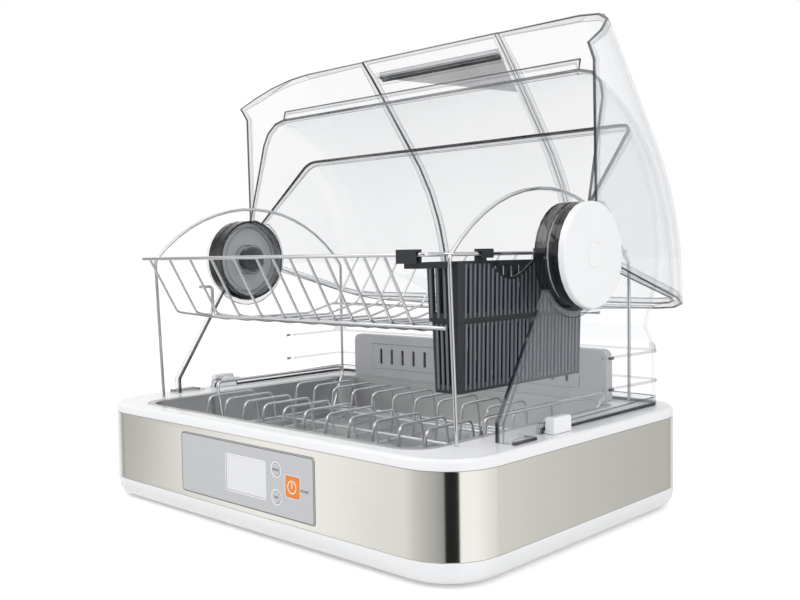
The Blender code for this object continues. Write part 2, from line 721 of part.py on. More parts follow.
def make_top_rim():
    rings = [base_ring(0, RIM_BOTTOM)]
    for step in range(ROUND_STEPS + 1):
        turn = step / ROUND_STEPS * pi / 2
        rings.append(base_ring(RIM_ROUND * (1 - cos(turn)),
                               DECK_TOP - RIM_ROUND * (1 - sin(turn))))
    rings.append(opening_ring(-LEDGE_WIDTH, DECK_TOP))
    rings.append(opening_ring(-LEDGE_WIDTH, LEDGE_TOP))
    rings.append(opening_ring(0, LEDGE_TOP))
    rings.append(opening_ring(0, DECK_TOP - RIM_PLATE - LEDGE_DEPTH))
    rings.append(base_ring(SKIRT_INSET + RIM_SKIRT, DECK_TOP - RIM_PLATE - LEDGE_DEPTH))
    rings.append(base_ring(SKIRT_INSET + RIM_SKIRT, RIM_BOTTOM - RIM_SKIRT_DEPTH))
    rings.append(base_ring(SKIRT_INSET, RIM_BOTTOM - RIM_SKIRT_DEPTH))
    rings.append(base_ring(SKIRT_INSET, RIM_BOTTOM))
    rim = loft("rim", rings, closed=True)
    posts = []
    bores = []
    for spot in SCREW_PLACES.values():
        low = PAN_FLOOR_TOP + SCREW_BOSS_HEIGHT + SEAT_GAP
        posts.append(vertical_pillar("post", spot, POST_RADIUS, low, DECK_TOP - RIM_PLATE))
        bores.append(vertical_pillar("bore", spot, SCREW_SHANK_RADIUS + 2 * SEAT_GAP,
                                     low - OVERRUN, low + SCREW_LENGTH, SCREW_SIDES))
    rim = join(rim, *posts)
    throat = box("throat", (-THROAT_WIDTH / 2, DUCT_FRONT + DUCT_WALL, RIM_BOTTOM - OVERRUN),
                 (THROAT_WIDTH / 2, DUCT_BACK - DUCT_WALL, DECK_TOP + OVERRUN))
    return settle(cut(rim, throat, *bores), "top_rim", WHITE_ABS)


def make_drip_tray():
    floor = LEDGE_TOP + SEAT_GAP - TRAY_DEPTH
    flange = SEAT_GAP - LEDGE_WIDTH
    wall = TRAY_SLACK
    rings = [opening_ring(wall + TRAY_TAPER + TRAY_BEND, floor),
             opening_ring(wall + TRAY_TAPER, floor + TRAY_BEND),
             opening_ring(wall, LEDGE_TOP + SEAT_GAP),
             opening_ring(flange, LEDGE_TOP + SEAT_GAP),
             opening_ring(flange, LEDGE_TOP + SEAT_GAP + TRAY_WALL),
             opening_ring(wall + TRAY_WALL, LEDGE_TOP + SEAT_GAP + TRAY_WALL),
             opening_ring(wall + TRAY_TAPER + TRAY_WALL, floor + TRAY_BEND + TRAY_WALL),
             opening_ring(wall + TRAY_TAPER + TRAY_BEND + TRAY_WALL, floor + TRAY_WALL)]
    tray = loft("tray", rings)
    ribs = []
    reach = OPENING_DEPTH / 2 - TRAY_TAPER - TRAY_BEND - OPENING_CORNER
    pitch = OPENING_WIDTH / (DRAIN_RIB_COUNT + 1)
    for rib in range(DRAIN_RIB_COUNT):
        x = (rib + 1) * pitch - OPENING_WIDTH / 2
        outline = [(x - 2 * DRAIN_RIB, floor + TRAY_WALL / 2), (x + 2 * DRAIN_RIB,
                   floor + TRAY_WALL / 2), (x, floor + TRAY_WALL + DRAIN_RIB)]
        ribs.append(prism("rib", outline, OPENING_Y - reach, OPENING_Y + reach, "y"))
    return settle(join(tray, *ribs), "drip_tray", TRAY_STEEL)


# Control panel: plate, display window, three buttons and the board behind them
def panel_spot(across):
    return PANEL_LEFT + across


def button_spots():
    return {"mode_button": (panel_spot(BUTTON_COLUMN), PANEL_Z + BUTTON_SPREAD / 2),
            "time_button": (panel_spot(BUTTON_COLUMN), PANEL_Z - BUTTON_SPREAD / 2)}


PANEL_FACE = BASE_FRONT - PANEL_PROUD
POWER_SPOT = (panel_spot(POWER_COLUMN), PANEL_Z)
DISPLAY_SPOT = (panel_spot(DISPLAY_LEFT + DISPLAY_WIDTH / 2), PANEL_Z)


def make_control_panel():
    outline = rounded(PANEL_WIDTH / 2, PANEL_HEIGHT / 2, PANEL_CORNER, (PANEL_X, PANEL_Z),
                      SMALL_CORNER_STEPS)
    plate = prism("plate", outline, PANEL_FACE, PANEL_BACK, "y")
    front, back = PANEL_FACE - OVERRUN, PANEL_BACK + OVERRUN
    cuts = [prism("window", rounded(DISPLAY_WIDTH / 2, DISPLAY_HEIGHT / 2, DISPLAY_CORNER,
                                    DISPLAY_SPOT, WIRE_CORNER_STEPS), front, back, "y"),
            prism("power", rounded(POWER_SIZE / 2 + RUN_GAP, POWER_SIZE / 2 + RUN_GAP,
                                   POWER_CORNER + RUN_GAP, POWER_SPOT, SMALL_CORNER_STEPS),
                  front, back, "y")]
    for spot in button_spots().values():
        cuts.append(prism("hole", circle(spot, BUTTON_RADIUS + RUN_GAP), front, back, "y"))
    return settle(cut(plate, *cuts), "control_panel", PANEL_METAL)


def make_display_window():
    outline = rounded(DISPLAY_WIDTH / 2 - SEAT_GAP, DISPLAY_HEIGHT / 2 - SEAT_GAP,
                      DISPLAY_CORNER - SEAT_GAP, DISPLAY_SPOT, WIRE_CORNER_STEPS)
    return settle(prism("window", outline, PANEL_FACE + DISPLAY_RECESS, PANEL_BACK, "y"),
                  "display_window", PALE_WINDOW)


SWITCH_TIP = PANEL_BACK + BUTTON_STEM + BUTTON_TRAVEL + SEAT_GAP
BOARD_FRONT = SWITCH_TIP + SWITCH_HEIGHT


def make_button(name, outline, spot, finish):
    """A button's cap with its stem; its origin is on its own axis at the panel's face."""
    cap = prism("cap", outline, PANEL_FACE - BUTTON_PROUD, PANEL_BACK, "y")
    stem = prism("stem", circle(spot, BUTTON_STEM_RADIUS), PANEL_FACE, PANEL_BACK + BUTTON_STEM,
                 "y")
    return set_origin(settle(join(cap, stem), name, finish), (spot[0], PANEL_FACE, spot[1]))


def make_buttons():
    for name, spot in button_spots().items():
        make_button(name, circle(spot, BUTTON_RADIUS), spot, PALE_BUTTON)
    outline = rounded(POWER_SIZE / 2, POWER_SIZE / 2, POWER_CORNER, POWER_SPOT,
                      SMALL_CORNER_STEPS)
    make_button("power_button", outline, POWER_SPOT, ORANGE)


def make_button_board():
    """The board behind the panel's back, with a switch for each button and the display's lamp."""
    left, right = panel_spot(DISPLAY_LEFT), panel_spot(PANEL_WIDTH) - WINDOW_INSET * 2
    half = PANEL_HEIGHT / 2 - WINDOW_INSET * 2
    board = box("board", (left, BOARD_FRONT, PANEL_Z - half),
                (right, BOARD_FRONT + BOARD_THICKNESS, PANEL_Z + half))
    parts = []
    half_switch = SWITCH_SIZE / 2
    for x, z in list(button_spots().values()) + [POWER_SPOT]:
        parts.append(box("switch", (x - half_switch, SWITCH_TIP, z - half_switch),
                         (x + half_switch, BOARD_FRONT + BOARD_THICKNESS / 2, z + half_switch)))
    x, z = DISPLAY_SPOT
    half_x, half_z = DISPLAY_WIDTH / 2 - SWITCH_SIZE, half - SWITCH_HEIGHT
    parts.append(box("lamp", (x - half_x, PANEL_BACK + SEAT_GAP, z - half_z),
                     (x + half_x, BOARD_FRONT + BOARD_THICKNESS / 2, z + half_z)))
    return settle(join(board, *parts), "button_board", CIRCUIT)


# Hood: outlines are (y, z) from the hinge line, and a shell is a solid less its own inside
def hinge_prism(name, outline, low, high):
    return prism(name, [(HINGE_Y + y, HINGE_HEIGHT + z) for y, z in outline], low, high, "x")


def hinge_disc(name, radius, low, high):
    return hinge_prism(name, circle((0, 0), radius, ROUND_SIDES), low, high)


def bar_outline(inner, outer, angle, width):
    """Four points of a bar that lies along X on a shell."""
    half = width / 2 / outer * HALF_TURN / pi
    return [polar(inner, angle - half), polar(outer, angle - half),
            polar(outer, angle + half), polar(inner, angle + half)]


def both_sides(make):
    """Make a piece on the right and its mirror image on the left."""
    right = make()
    return [right, mirrored(right)]


def shell(name, outline, inside, plate, corner, chosen, panels=()):
    """A solid with rounded side edges, less the inside, which the wall's thickness leaves."""
    def in_plane(a, b):
        ends = [(point.y - HINGE_Y, point.z - HINGE_HEIGHT) for point in (a, b)]
        return abs(a.x - b.x) < TOLERANCE and all(chosen(*end) for end in ends)
    outer = round_edges(hinge_prism(name, outline, -plate, plate), in_plane, corner)
    depth = plate - SHELL_WALL
    inner = round_edges(hinge_prism(name, inside, -depth, depth), in_plane, corner - SHELL_WALL)
    for proud, hollow, half in panels:
        outer = join(outer, hinge_prism("panel", proud, -half, half))
        inner = join(inner, hinge_prism("panel", hollow, SHELL_WALL - half, half - SHELL_WALL))
    return outer, inner


def add_hubs(thing, low, high):
    """Discs on both sides, bored for the hinge pins."""
    thing = join(thing, *both_sides(lambda: hinge_disc("hub", HUB_RADIUS, low, high)))
    bore = PIN_RADIUS + PIN_CLEARANCE
    return cut(thing, *both_sides(lambda: hinge_disc("bore", bore, low - OVERRUN,
                                                     high + OVERRUN)))


COVER_FOOT = DECK_TOP + SEAT_GAP - HINGE_HEIGHT
WAIST_HEIGHT = -COVER_FOOT * WAIST_SHARE
SLANT = (cos(radians(SLANT_ANGLE)), sin(radians(SLANT_ANGLE)))
SLANT_LENGTH = (SLANT[0] * SLANT_OFFSET - COVER_FOOT - COVER_FRONT_RISE) / SLANT[1]
COVER_FOOT_FRONT = SLANT[1] * SLANT_OFFSET + SLANT[0] * SLANT_LENGTH


def on_slant(offset, along):
    """A point on the slanted front line of the rear cover, from the hinge."""
    return -SLANT[1] * offset - SLANT[0] * along, SLANT[0] * offset - SLANT[1] * along


def slant_at(offset, y):
    """The point of the slanted line that stands at a given y."""
    return on_slant(offset, (-y - SLANT[1] * offset) / SLANT[0])


def clip_span(margin):
    middle = BASE_Y + CLIP_SETBACK
    return middle - CLIP_LENGTH / 2 - margin, middle + CLIP_LENGTH / 2 + margin


def make_rear_cover():
    waist = COVER_FOOT + WAIST_HEIGHT
    back = [(WAIST_REACH, waist), (SHOULDER_REACH, waist - SHOULDER_DROP),
            (COVER_FOOT_REAR, COVER_FOOT)]
    front_top = slant_at(SLANT_OFFSET, -COVER_FOOT_FRONT)
    outline = arc(lambda angle: REAR_RADIUS, REAR_TOP_ANGLE, REAR_SKIRT_ANGLE) + back
    outline += [(-COVER_FOOT_FRONT, COVER_FOOT), front_top, on_slant(SLANT_OFFSET, 0)]
    inner_radius = REAR_RADIUS - SHELL_WALL
    inside = arc(lambda angle: inner_radius, REAR_TOP_ANGLE + CUT_ANGLE, REAR_SKIRT_ANGLE)
    inside += [(y - SHELL_WALL, z) for y, z in back[:2]]
    inside += [(COVER_FOOT_REAR - SHELL_WALL, COVER_FOOT - OVERRUN),
               (-REAR_RADIUS, COVER_FOOT - OVERRUN), (-REAR_RADIUS, REAR_RADIUS)]
    cover, inner = shell("cover", outline, inside, REAR_PLATE, REAR_CORNER,
                         lambda y, z: y > SLANT_OFFSET)
    beads = []
    for share in BEAD_SHARES:
        height = (WAIST_HEIGHT - SHOULDER_DROP) * share
        reach = COVER_FOOT_REAR + (SHOULDER_REACH - COVER_FOOT_REAR) * share + BEAD_PROUD
        low = HINGE_HEIGHT + COVER_FOOT + height - BEAD_WIDTH / 2
        half_y = (reach - BEAD_FRONT) / 2
        bead = prism("bead", rounded(REAR_PLATE + BEAD_PROUD, half_y, REAR_CORNER + BEAD_PROUD,
                                     (0, HINGE_Y + BEAD_FRONT + half_y), ROUND_STEPS),
                     low, low + BEAD_WIDTH)
        beads.append(bead)
    cover = cut(join(cover, *beads), inner)
    flange = [(-COVER_FOOT_FRONT, COVER_FOOT), front_top, on_slant(SLANT_OFFSET, HUB_RADIUS / 2),
              on_slant(SLANT_OFFSET - SHELL_WALL, HUB_RADIUS / 2),
              slant_at(SLANT_OFFSET - SHELL_WALL, SHELL_WALL - COVER_FOOT_FRONT),
              (SHELL_WALL - COVER_FOOT_FRONT, COVER_FOOT)]
    plate_inner = REAR_PLATE - SHELL_WALL
    cover = join(cover, *both_sides(lambda: hinge_prism(
        "flange", flange, plate_inner - EDGE_FLANGE, REAR_PLATE - SHELL_WALL / 2)))
    tab_low = (REAR_PLATE - SHELL_WALL / 2, HINGE_Y - COVER_FOOT_FRONT, DECK_TOP + SEAT_GAP)
    tab_high = (REAR_PLATE + TAB_WIDTH, HINGE_Y - COVER_FOOT_FRONT + TAB_LENGTH,
                DECK_TOP + SEAT_GAP + TAB_THICKNESS)
    cover = join(cover, *both_sides(lambda: box("tab", tab_low, tab_high)))
    clip_front, clip_rear = clip_span(CLIP_FIT)
    notch_low = (plate_inner - OVERRUN, clip_front, DECK_TOP)
    notch_high = (REAR_PLATE + OVERRUN, clip_rear, DECK_TOP + SEAT_GAP + CLIP_BRIDGE + CLIP_FIT)
    cover = cut(cover, *both_sides(lambda: box("notch", notch_low, notch_high)))
    return settle(add_hubs(cover, BOSS_INNER, BOSS_OUTER), "rear_cover", CLEAR)


def make_middle_cover():
    outline = arc(middle_radius, MIDDLE_FRONT_ANGLE, SHELL_REAR_ANGLE) + [(0, 0)]
    inside = arc(lambda angle: middle_radius(angle) - SHELL_WALL,
                 MIDDLE_FRONT_ANGLE + CUT_ANGLE, SHELL_REAR_ANGLE - CUT_ANGLE)
    half_angle = (MIDDLE_FRONT_ANGLE + SHELL_REAR_ANGLE) / 2
    inside.append(polar(-HUB_RADIUS / 2, half_angle))
    cover, inner = shell("cover", outline, inside, MIDDLE_PLATE, MIDDLE_CORNER,
                         lambda y, z: sqrt(y * y + z * z) > HUB_RADIUS)
    cover = cut(cover, inner)
    half = MIDDLE_PLATE - MIDDLE_CORNER
    lip_angle = MIDDLE_FRONT_ANGLE - SHELL_WALL / MIDDLE_RADIUS * HALF_TURN / pi / 2
    lip = bar_outline(MIDDLE_RADIUS - SHELL_WALL / 2, MIDDLE_RADIUS + MIDDLE_LIP, lip_angle,
                      SHELL_WALL)
    cover = join(cover, hinge_prism("lip", lip, -half, half))
    return settle(add_hubs(cover, MIDDLE_INNER, MIDDLE_OUTER), "middle_cover", CLEAR)


def make_front_lid():
    """The lid is shaped where it lies when closed, and then turned open about the hinge."""
    first, last = SHELL_REAR_ANGLE + LID_TRAVEL, LID_LAST_ANGLE + LID_TRAVEL

    def around(offset, start, end):
        return arc(lambda angle: lid_radius(angle - LID_TRAVEL) + offset, start, end)
    edge = -COVER_FOOT_FRONT - LID_EDGE_GAP
    low = polar(lid_radius(LID_LAST_ANGLE), last)[1]
    slant = SLANT_OFFSET + LID_EDGE_GAP
    outline = around(0, first, last) + [(edge, low), slant_at(slant, edge), on_slant(slant, 0)]
    inside = around(-SHELL_WALL, first - CUT_ANGLE, last + CUT_ANGLE)
    inside += [(HUB_RADIUS / 2, inside[-1][1]), (HUB_RADIUS / 2, 0)]
    proud = around(LID_STEP, first, last) + [(edge, low), (edge, 0)]
    hollow = around(LID_STEP - SHELL_WALL, first - CUT_ANGLE, last + CUT_ANGLE)
    hollow += [(edge, hollow[-1][1]), (edge, 0)]
    lid, inner = shell("lid", outline, inside, LID_PLATE, LID_CORNER,
                       lambda y, z: y < edge - LID_EDGE_GAP,
                       [(proud, hollow, LID_PANEL_HALF)])
    lid = cut(lid, inner)
    lip_angle = first + SHELL_WALL / LID_RADIUS * HALF_TURN / pi / 2
    lip_radius = lid_radius(SHELL_REAR_ANGLE) - SHELL_WALL / 2
    half = LID_PLATE - LID_CORNER
    lip = hinge_prism("lip", bar_outline(lip_radius - LID_LIP, lip_radius, lip_angle,
                                         SHELL_WALL), -half, half)
    grip_radius = lid_radius(GRIP_ANGLE) + LID_STEP
    grip = hinge_prism("grip", bar_outline(grip_radius - SHELL_WALL / 2,
                                           grip_radius + GRIP_PROUD, GRIP_ANGLE + LID_TRAVEL,
                                           GRIP_WIDTH), -GRIP_LENGTH / 2, GRIP_LENGTH / 2)
    lid = add_hubs(join(lid, lip, grip), LID_INNER, LID_OUTER)
    below = box("below", (-BASE_WIDTH, -BASE_WIDTH, -BASE_WIDTH),
                (BASE_WIDTH, BASE_WIDTH, HINGE_HEIGHT - LID_DROP))
    lid = cut(lid, below)
    turn = radians(-LID_TRAVEL)
    for vert in lid.data.vertices:
        y, z = vert.co.y - HINGE_Y, vert.co.z - HINGE_HEIGHT
        vert.co.y = HINGE_Y + y * cos(turn) - z * sin(turn)
        vert.co.z = HINGE_HEIGHT + y * sin(turn) + z * cos(turn)
    return settle(lid, "front_lid", CLEAR)


def hinge_turning(name, steps):
    """A turned piece on the hinge line, from (radius, x) steps."""
    rings = []
    for radius, x in steps:
        ring = circle((HINGE_Y, HINGE_HEIGHT), radius, ROUND_SIDES)
        rings.append([(x, y, z) for y, z in ring])
    return loft(name, rings)


def make_hinge_pins():
    head = BOSS_INNER - SEAT_GAP
    steps = [(PIN_HEAD_RADIUS, head - PIN_HEAD_THICKNESS), (PIN_HEAD_RADIUS, head),
             (PIN_RADIUS, head), (PIN_RADIUS, CAP_INNER + CAP_THICKNESS / 2)]
    pins = both_sides(lambda: hinge_turning("pin", steps))
    for pin, side in zip(pins, ("right", "left")):
        settle(pin, "hinge_pin_" + side, GREY_ABS)


def make_hinge_spacers():
    def spacer():
        ring = hinge_disc("spacer", HUB_RADIUS - SPACER_SHRINK, SPACER_INNER, SPACER_OUTER)
        return cut(ring, hinge_disc("bore", PIN_RADIUS + PIN_CLEARANCE, SPACER_INNER - OVERRUN,
                                    SPACER_OUTER + OVERRUN))
    for piece, side in zip(both_sides(spacer), ("right", "left")):
        settle(piece, "hinge_spacer_" + side, GREY_ABS)


def make_hinge_caps():
    def cap():
        outer = [(HUB_RADIUS, CAP_INNER)]
        for step in range(ROUND_STEPS + 1):
            turn = step / ROUND_STEPS * pi / 2
            outer.append((HUB_RADIUS - CAP_ROUND * (1 - cos(turn)),
                          CAP_OUTER - CAP_ROUND * (1 - sin(turn))))
        half = CAP_RING_WIDTH / 2
        ring = [(CAP_RING + half, CAP_OUTER), (CAP_RING + half, CAP_OUTER - CAP_RING_DEPTH),
                (CAP_RING - half, CAP_OUTER - CAP_RING_DEPTH), (CAP_RING - half, CAP_OUTER)]
        disc = hinge_turning("cap", outer + ring)
        return cut(disc, hinge_disc("bore", PIN_RADIUS + PIN_CLEARANCE, CAP_INNER - OVERRUN,
                                    CAP_INNER + CAP_THICKNESS / 2 + SEAT_GAP))
    for piece, side in zip(both_sides(cap), ("right", "left")):
        settle(piece, "hinge_cap_" + side, WHITE_ABS)


def make_cover_clips():
    """A block outside, an ear inside, and a bridge through the notch in the cover's foot."""
    def clip():
        front, rear = clip_span(0)
        low = DECK_TOP + SEAT_GAP
        outer = REAR_PLATE + CLIP_GAP + CLIP_WIDTH
        inner = REAR_PLATE - SHELL_WALL - CLIP_GAP
        block = box("block", (REAR_PLATE + CLIP_GAP, front, low),
                    (outer, rear, low + CLIP_HEIGHT))
        top = low + CLIP_HEIGHT
        block = round_edges(block, lambda a, b: min(a.z, b.z) > top - TOLERANCE,
                            CLIP_ROUND)
        bridge = box("bridge", (inner - CLIP_EAR_THICKNESS / 2, front + CLIP_ROUND, low),
                     (REAR_PLATE + CLIP_GAP + CLIP_WIDTH / 2, rear - CLIP_ROUND,
                      low + CLIP_BRIDGE))
        middle = (front + rear) / 2
        ear = prism("ear", [(middle + y, low + z) for y, z in circle((0, 0), CLIP_EAR_RADIUS)
                            if z > -TOLERANCE], inner - CLIP_EAR_THICKNESS, inner, "x")
        return join(block, bridge, ear)
    for piece, side in zip(both_sides(clip), ("right", "left")):
        settle(piece, "cover_clip_" + side, WHITE_ABS)


# Wires: slim tubes along a route, with their crossings sunk into each other as welded
def bend(before, corner, after, radius, steps=WIRE_STEPS):
    """The points of a rounded corner, from one straight to the next."""
    arm_before = (Vector(before) - Vector(corner)).normalized()
    arm_after = (Vector(after) - Vector(corner)).normalized()
    half = arm_before.angle(arm_after) / 2
    length = radius / tan(half)
    start, end = Vector(corner) + arm_before * length, Vector(corner) + arm_after * length
    shares = [step / steps for step in range(steps + 1)]
    return [start * (1 - share) ** 2 + 2 * Vector(corner) * share * (1 - share)
            + end * share ** 2 for share in shares]


def route(points, radius):
    """A route through points, with every corner but the ends rounded."""
    path = [points[0]]
    for before, corner, after in zip(points, points[1:], points[2:]):
        path += bend(before, corner, after, radius)
    return path + [points[-1]]


def wire(name, points, radius, closed=False):
    places = [Vector(point) for point in points]
    count = len(places)
    rings = []
    side = None
    for place, here in enumerate(places):
        before = places[place - 1] if closed or place else 2 * here - places[1]
        last = not closed and place == count - 1
        after = 2 * here - places[-2] if last else places[(place + 1) % count]
        along = ((here - before).normalized() + (after - here).normalized()).normalized()
        side = side or along.orthogonal()
        side = (side - along * side.dot(along)).normalized()
        other = along.cross(side)
        rings.append([here + radius * (cos(2 * pi * turn / WIRE_SIDES) * side
                                       + sin(2 * pi * turn / WIRE_SIDES) * other)
                      for turn in range(WIRE_SIDES)])
    return loft(name, rings, closed)


def across(y, z, left, right):
    """A straight wire along X, at a place from the base's middle."""
    return wire("rail", [(left, BASE_Y + y, z), (right, BASE_Y + y, z)], FRAME_WIRE)


def in_plane_of(x, points):
    """(y, z) points from the base's middle, put on the plane of one X."""
    return [(x, BASE_Y + y, z) for y, z in points]


WELD_DROP = (PLATE_WIRE + FRAME_WIRE) * (1 - WELD_SHARE)


def cradle_wire(x):
    low = CRADLE_HEIGHT - CRADLE_SAG
    points = [(-LOOP_FRONT, LOOP_HEIGHT), (-CRADLE_FRONT, CRADLE_HEIGHT), (-CRADLE_FLAT, low),
              (CRADLE_FLAT, low), (CRADLE_REAR, CRADLE_HEIGHT), (LOOP_REAR, LOOP_HEIGHT)]
    return wire("cradle", route(in_plane_of(x, points), CRADLE_BEND), PLATE_WIRE)


def side_frame():
    """A leg, a shallow arch over the plates, and a leg; the front leg leans a little."""
    centre = ARCH_TOP - ARCH_RADIUS
    spans = [-LEG_FRONT - LEG_LEAN - ARCH_CENTRE, LEG_REAR - ARCH_CENTRE]
    ends = [atan2(sqrt(ARCH_RADIUS ** 2 - span ** 2), span) for span in spans]
    turns = [ends[0] + (ends[1] - ends[0]) * step / ARCH_STEPS for step in range(ARCH_STEPS + 1)]
    arch = [(ARCH_CENTRE + ARCH_RADIUS * cos(turn), centre + ARCH_RADIUS * sin(turn))
            for turn in turns]
    foot = DECK_TOP + SEAT_GAP
    feet = [(-LEG_FRONT, foot), (LEG_REAR, foot)]
    points = in_plane_of(LEG_HALF_WIDTH, [feet[0]] + arch + [feet[1]])
    path = [points[0]] + bend(*points[:3], LEG_BEND, FRAME_STEPS) + points[2:-2]
    path += bend(*points[-3:], LEG_BEND, FRAME_STEPS) + [points[-1]]
    return wire("frame", path, FRAME_WIRE)


def frame_stub(side):
    """A short wire from the loop's side to the arched frame, at the front or the rear."""
    rise = LOOP_HEIGHT - ARCH_TOP + ARCH_RADIUS
    y = BASE_Y + ARCH_CENTRE + side * sqrt(ARCH_RADIUS ** 2 - rise ** 2)
    reach = FRAME_WIRE * 2
    return wire("stub", [(LOOP_HALF_WIDTH - reach, y, LOOP_HEIGHT),
                         (LEG_HALF_WIDTH + reach, y, LOOP_HEIGHT)], PLATE_WIRE)


def spread(first, last, count):
    return [first + (last - first) * place / (count - 1) for place in range(count)]


def bowl_places():
    first, last = (share * LOOP_HALF_WIDTH for share in BOWL_SHARES)
    return spread(first, last, BOWL_COUNT)


def plate_places():
    """The plate wires stand between the middle and the basket."""
    last = BASKET_RIGHT - BASKET_WIDTH - PLATE_MARGIN
    return spread(PLATE_FIRST_SHARE * LOOP_HALF_WIDTH, last, PLATE_COUNT)


def front_rail():
    """The rail under the plates; at its left end it turns up and back to a bowl wire."""
    low = CRADLE_HEIGHT - WELD_DROP
    high = low + RISER_HEIGHT
    share = (LOOP_HEIGHT - high) / (LOOP_HEIGHT - CRADLE_HEIGHT)
    weld_y = -LOOP_FRONT + (LOOP_FRONT - CRADLE_FRONT) * share
    weld_x = bowl_places()[RISER_WIRE]
    riser_x = RISER_SHARE * LOOP_HALF_WIDTH
    points = [(RAIL_HALF, -CRADLE_FRONT, low), (riser_x, -CRADLE_FRONT, low),
              (riser_x, -CRADLE_FRONT, high), (riser_x, weld_y, high), (weld_x, weld_y, high)]
    return wire("rail", route([(x, BASE_Y + y, z) for x, y, z in points], RISER_BEND), FRAME_WIRE)


def make_upper_rack():
    depth = (LOOP_FRONT + LOOP_REAR) / 2
    outline = rounded(LOOP_HALF_WIDTH, depth, LOOP_CORNER, (0, BASE_Y + LOOP_REAR - depth),
                      WIRE_CORNER_STEPS)
    loop = wire("loop", ring_at(outline, LOOP_HEIGHT), FRAME_WIRE, closed=True)
    wires = [cradle_wire(x) for x in plate_places() + bowl_places()]
    low = CRADLE_HEIGHT - CRADLE_SAG - WELD_DROP
    last = plate_places()[-1] + PLATE_WIRE / 2
    wires += [front_rail(), across(0, low, -RAIL_HALF, last),
              across(CRADLE_REAR, CRADLE_HEIGHT - WELD_DROP, -RAIL_HALF, RAIL_HALF)]
    wires += both_sides(side_frame)
    for end in (-1, 1):
        wires += both_sides(lambda: frame_stub(end))
    return settle(join(loop, *wires), "upper_rack", CHROME)


def finger(x, row):
    """An inverted U between two bowls, standing on two long wires."""
    low, high = GRID_HEIGHT, GRID_HEIGHT + FINGER_HEIGHT
    points = [(row - FINGER_HALF, low), (row - FINGER_HALF + FINGER_LEAN, high),
              (row + FINGER_HALF - FINGER_LEAN, high), (row + FINGER_HALF, low)]
    return wire("finger", route(in_plane_of(x, points), FINGER_BEND), PLATE_WIRE)


def side_handle():
    low = GRID_HEIGHT
    points = [(GRID_HALF_WIDTH, -HANDLE_FRONT, low), (HANDLE_REACH, -HANDLE_FRONT, HANDLE_TOP),
              (HANDLE_REACH, HANDLE_REAR, HANDLE_TOP),
              (GRID_HALF_WIDTH, GRID_REAR - GRID_CORNER - FRAME_WIRE, low)]
    return wire("handle", route([(x, BASE_Y + y, z) for x, y, z in points], HANDLE_BEND),
                FRAME_WIRE)


def make_lower_rack():
    depth = (GRID_FRONT + GRID_REAR) / 2
    outline = rounded(GRID_HALF_WIDTH, depth, GRID_CORNER, (0, BASE_Y + GRID_REAR - depth),
                      WIRE_CORNER_STEPS)
    loop = wire("loop", ring_at(outline, GRID_HEIGHT), FRAME_WIRE, closed=True)
    wires = both_sides(side_handle)
    for row in FINGER_ROWS:
        for place in range(FINGER_COUNT):
            wires.append(finger((place - (FINGER_COUNT - 1) / 2) * FINGER_PITCH, row))
        wires += [across(row + end * FINGER_HALF, GRID_HEIGHT, -GRID_HALF_WIDTH, GRID_HALF_WIDTH)
                  for end in (-1, 1)]
    foot_low = LEDGE_TOP + SEAT_GAP - TRAY_DEPTH + TRAY_WALL + SEAT_GAP
    for side in (-1, 1):
        for y in (-GRID_FRONT, GRID_REAR):
            spot = (side * RACK_FOOT_COLUMN, BASE_Y + y)
            wires.append(vertical_pillar("foot", spot, RACK_FOOT_RADIUS, foot_low,
                                         GRID_HEIGHT + FRAME_WIRE / 2, FOOT_SIDES))
    return settle(join(loop, *wires), "lower_rack", CHROME)


# Cutlery basket: two tapered tiers with slots, and hooks over the rack's side wire
BASKET_X = BASKET_RIGHT - BASKET_WIDTH / 2
BASKET_Y = BASE_Y - BASKET_FRONT + BASKET_LENGTH / 2


def basket_ring(inset, height):
    return ring_at(rounded(BASKET_WIDTH / 2 - inset, BASKET_LENGTH / 2 - inset,
                           BASKET_CORNER - inset / 2, (BASKET_X, BASKET_Y),
                           WIRE_CORNER_STEPS), height)


def basket_inset(height):
    """How far the wall stands in at a height, from the draft and the step at the band."""
    draft = BASKET_DRAFT * (BASKET_TOP - height) / (BASKET_TOP - BASKET_BOTTOM)
    return draft + (BASKET_STEP if height < BASKET_BAND else 0)


def slot_places(length, count):
    pitch = length / count
    return [(place - (count - 1) / 2) * pitch for place in range(count)]


def dip_spans():
    """Where the right wall's top edge dips: between each two hooks."""
    margin = HOOK_LENGTH / 2 + BASKET_DIP_MARGIN
    return [(BASE_Y + first + margin, BASE_Y + second - margin)
            for first, second in zip(HOOK_PLACES, HOOK_PLACES[1:])]


def dip_at(y):
    """How deep the top edge of the right wall dips at a place along it."""
    for first, last in dip_spans():
        if first < y < last:
            return BASKET_DIP_DEPTH * sin(pi * (y - first) / (last - first))
    return 0


def dip_cutters():
    cutters = []
    for first, last in dip_spans():
        low = [(y, BASKET_TOP - dip_at(y)) for y in spread(first, last, BASKET_DIP_STEPS + 1)]
        outline = low + [(last, BASKET_TOP + OVERRUN), (first, BASKET_TOP + OVERRUN)]
        cutters.append(prism("dip", outline, BASKET_RIGHT - OVERRUN, BASKET_RIGHT + TOLERANCE, "x"))
    return cutters


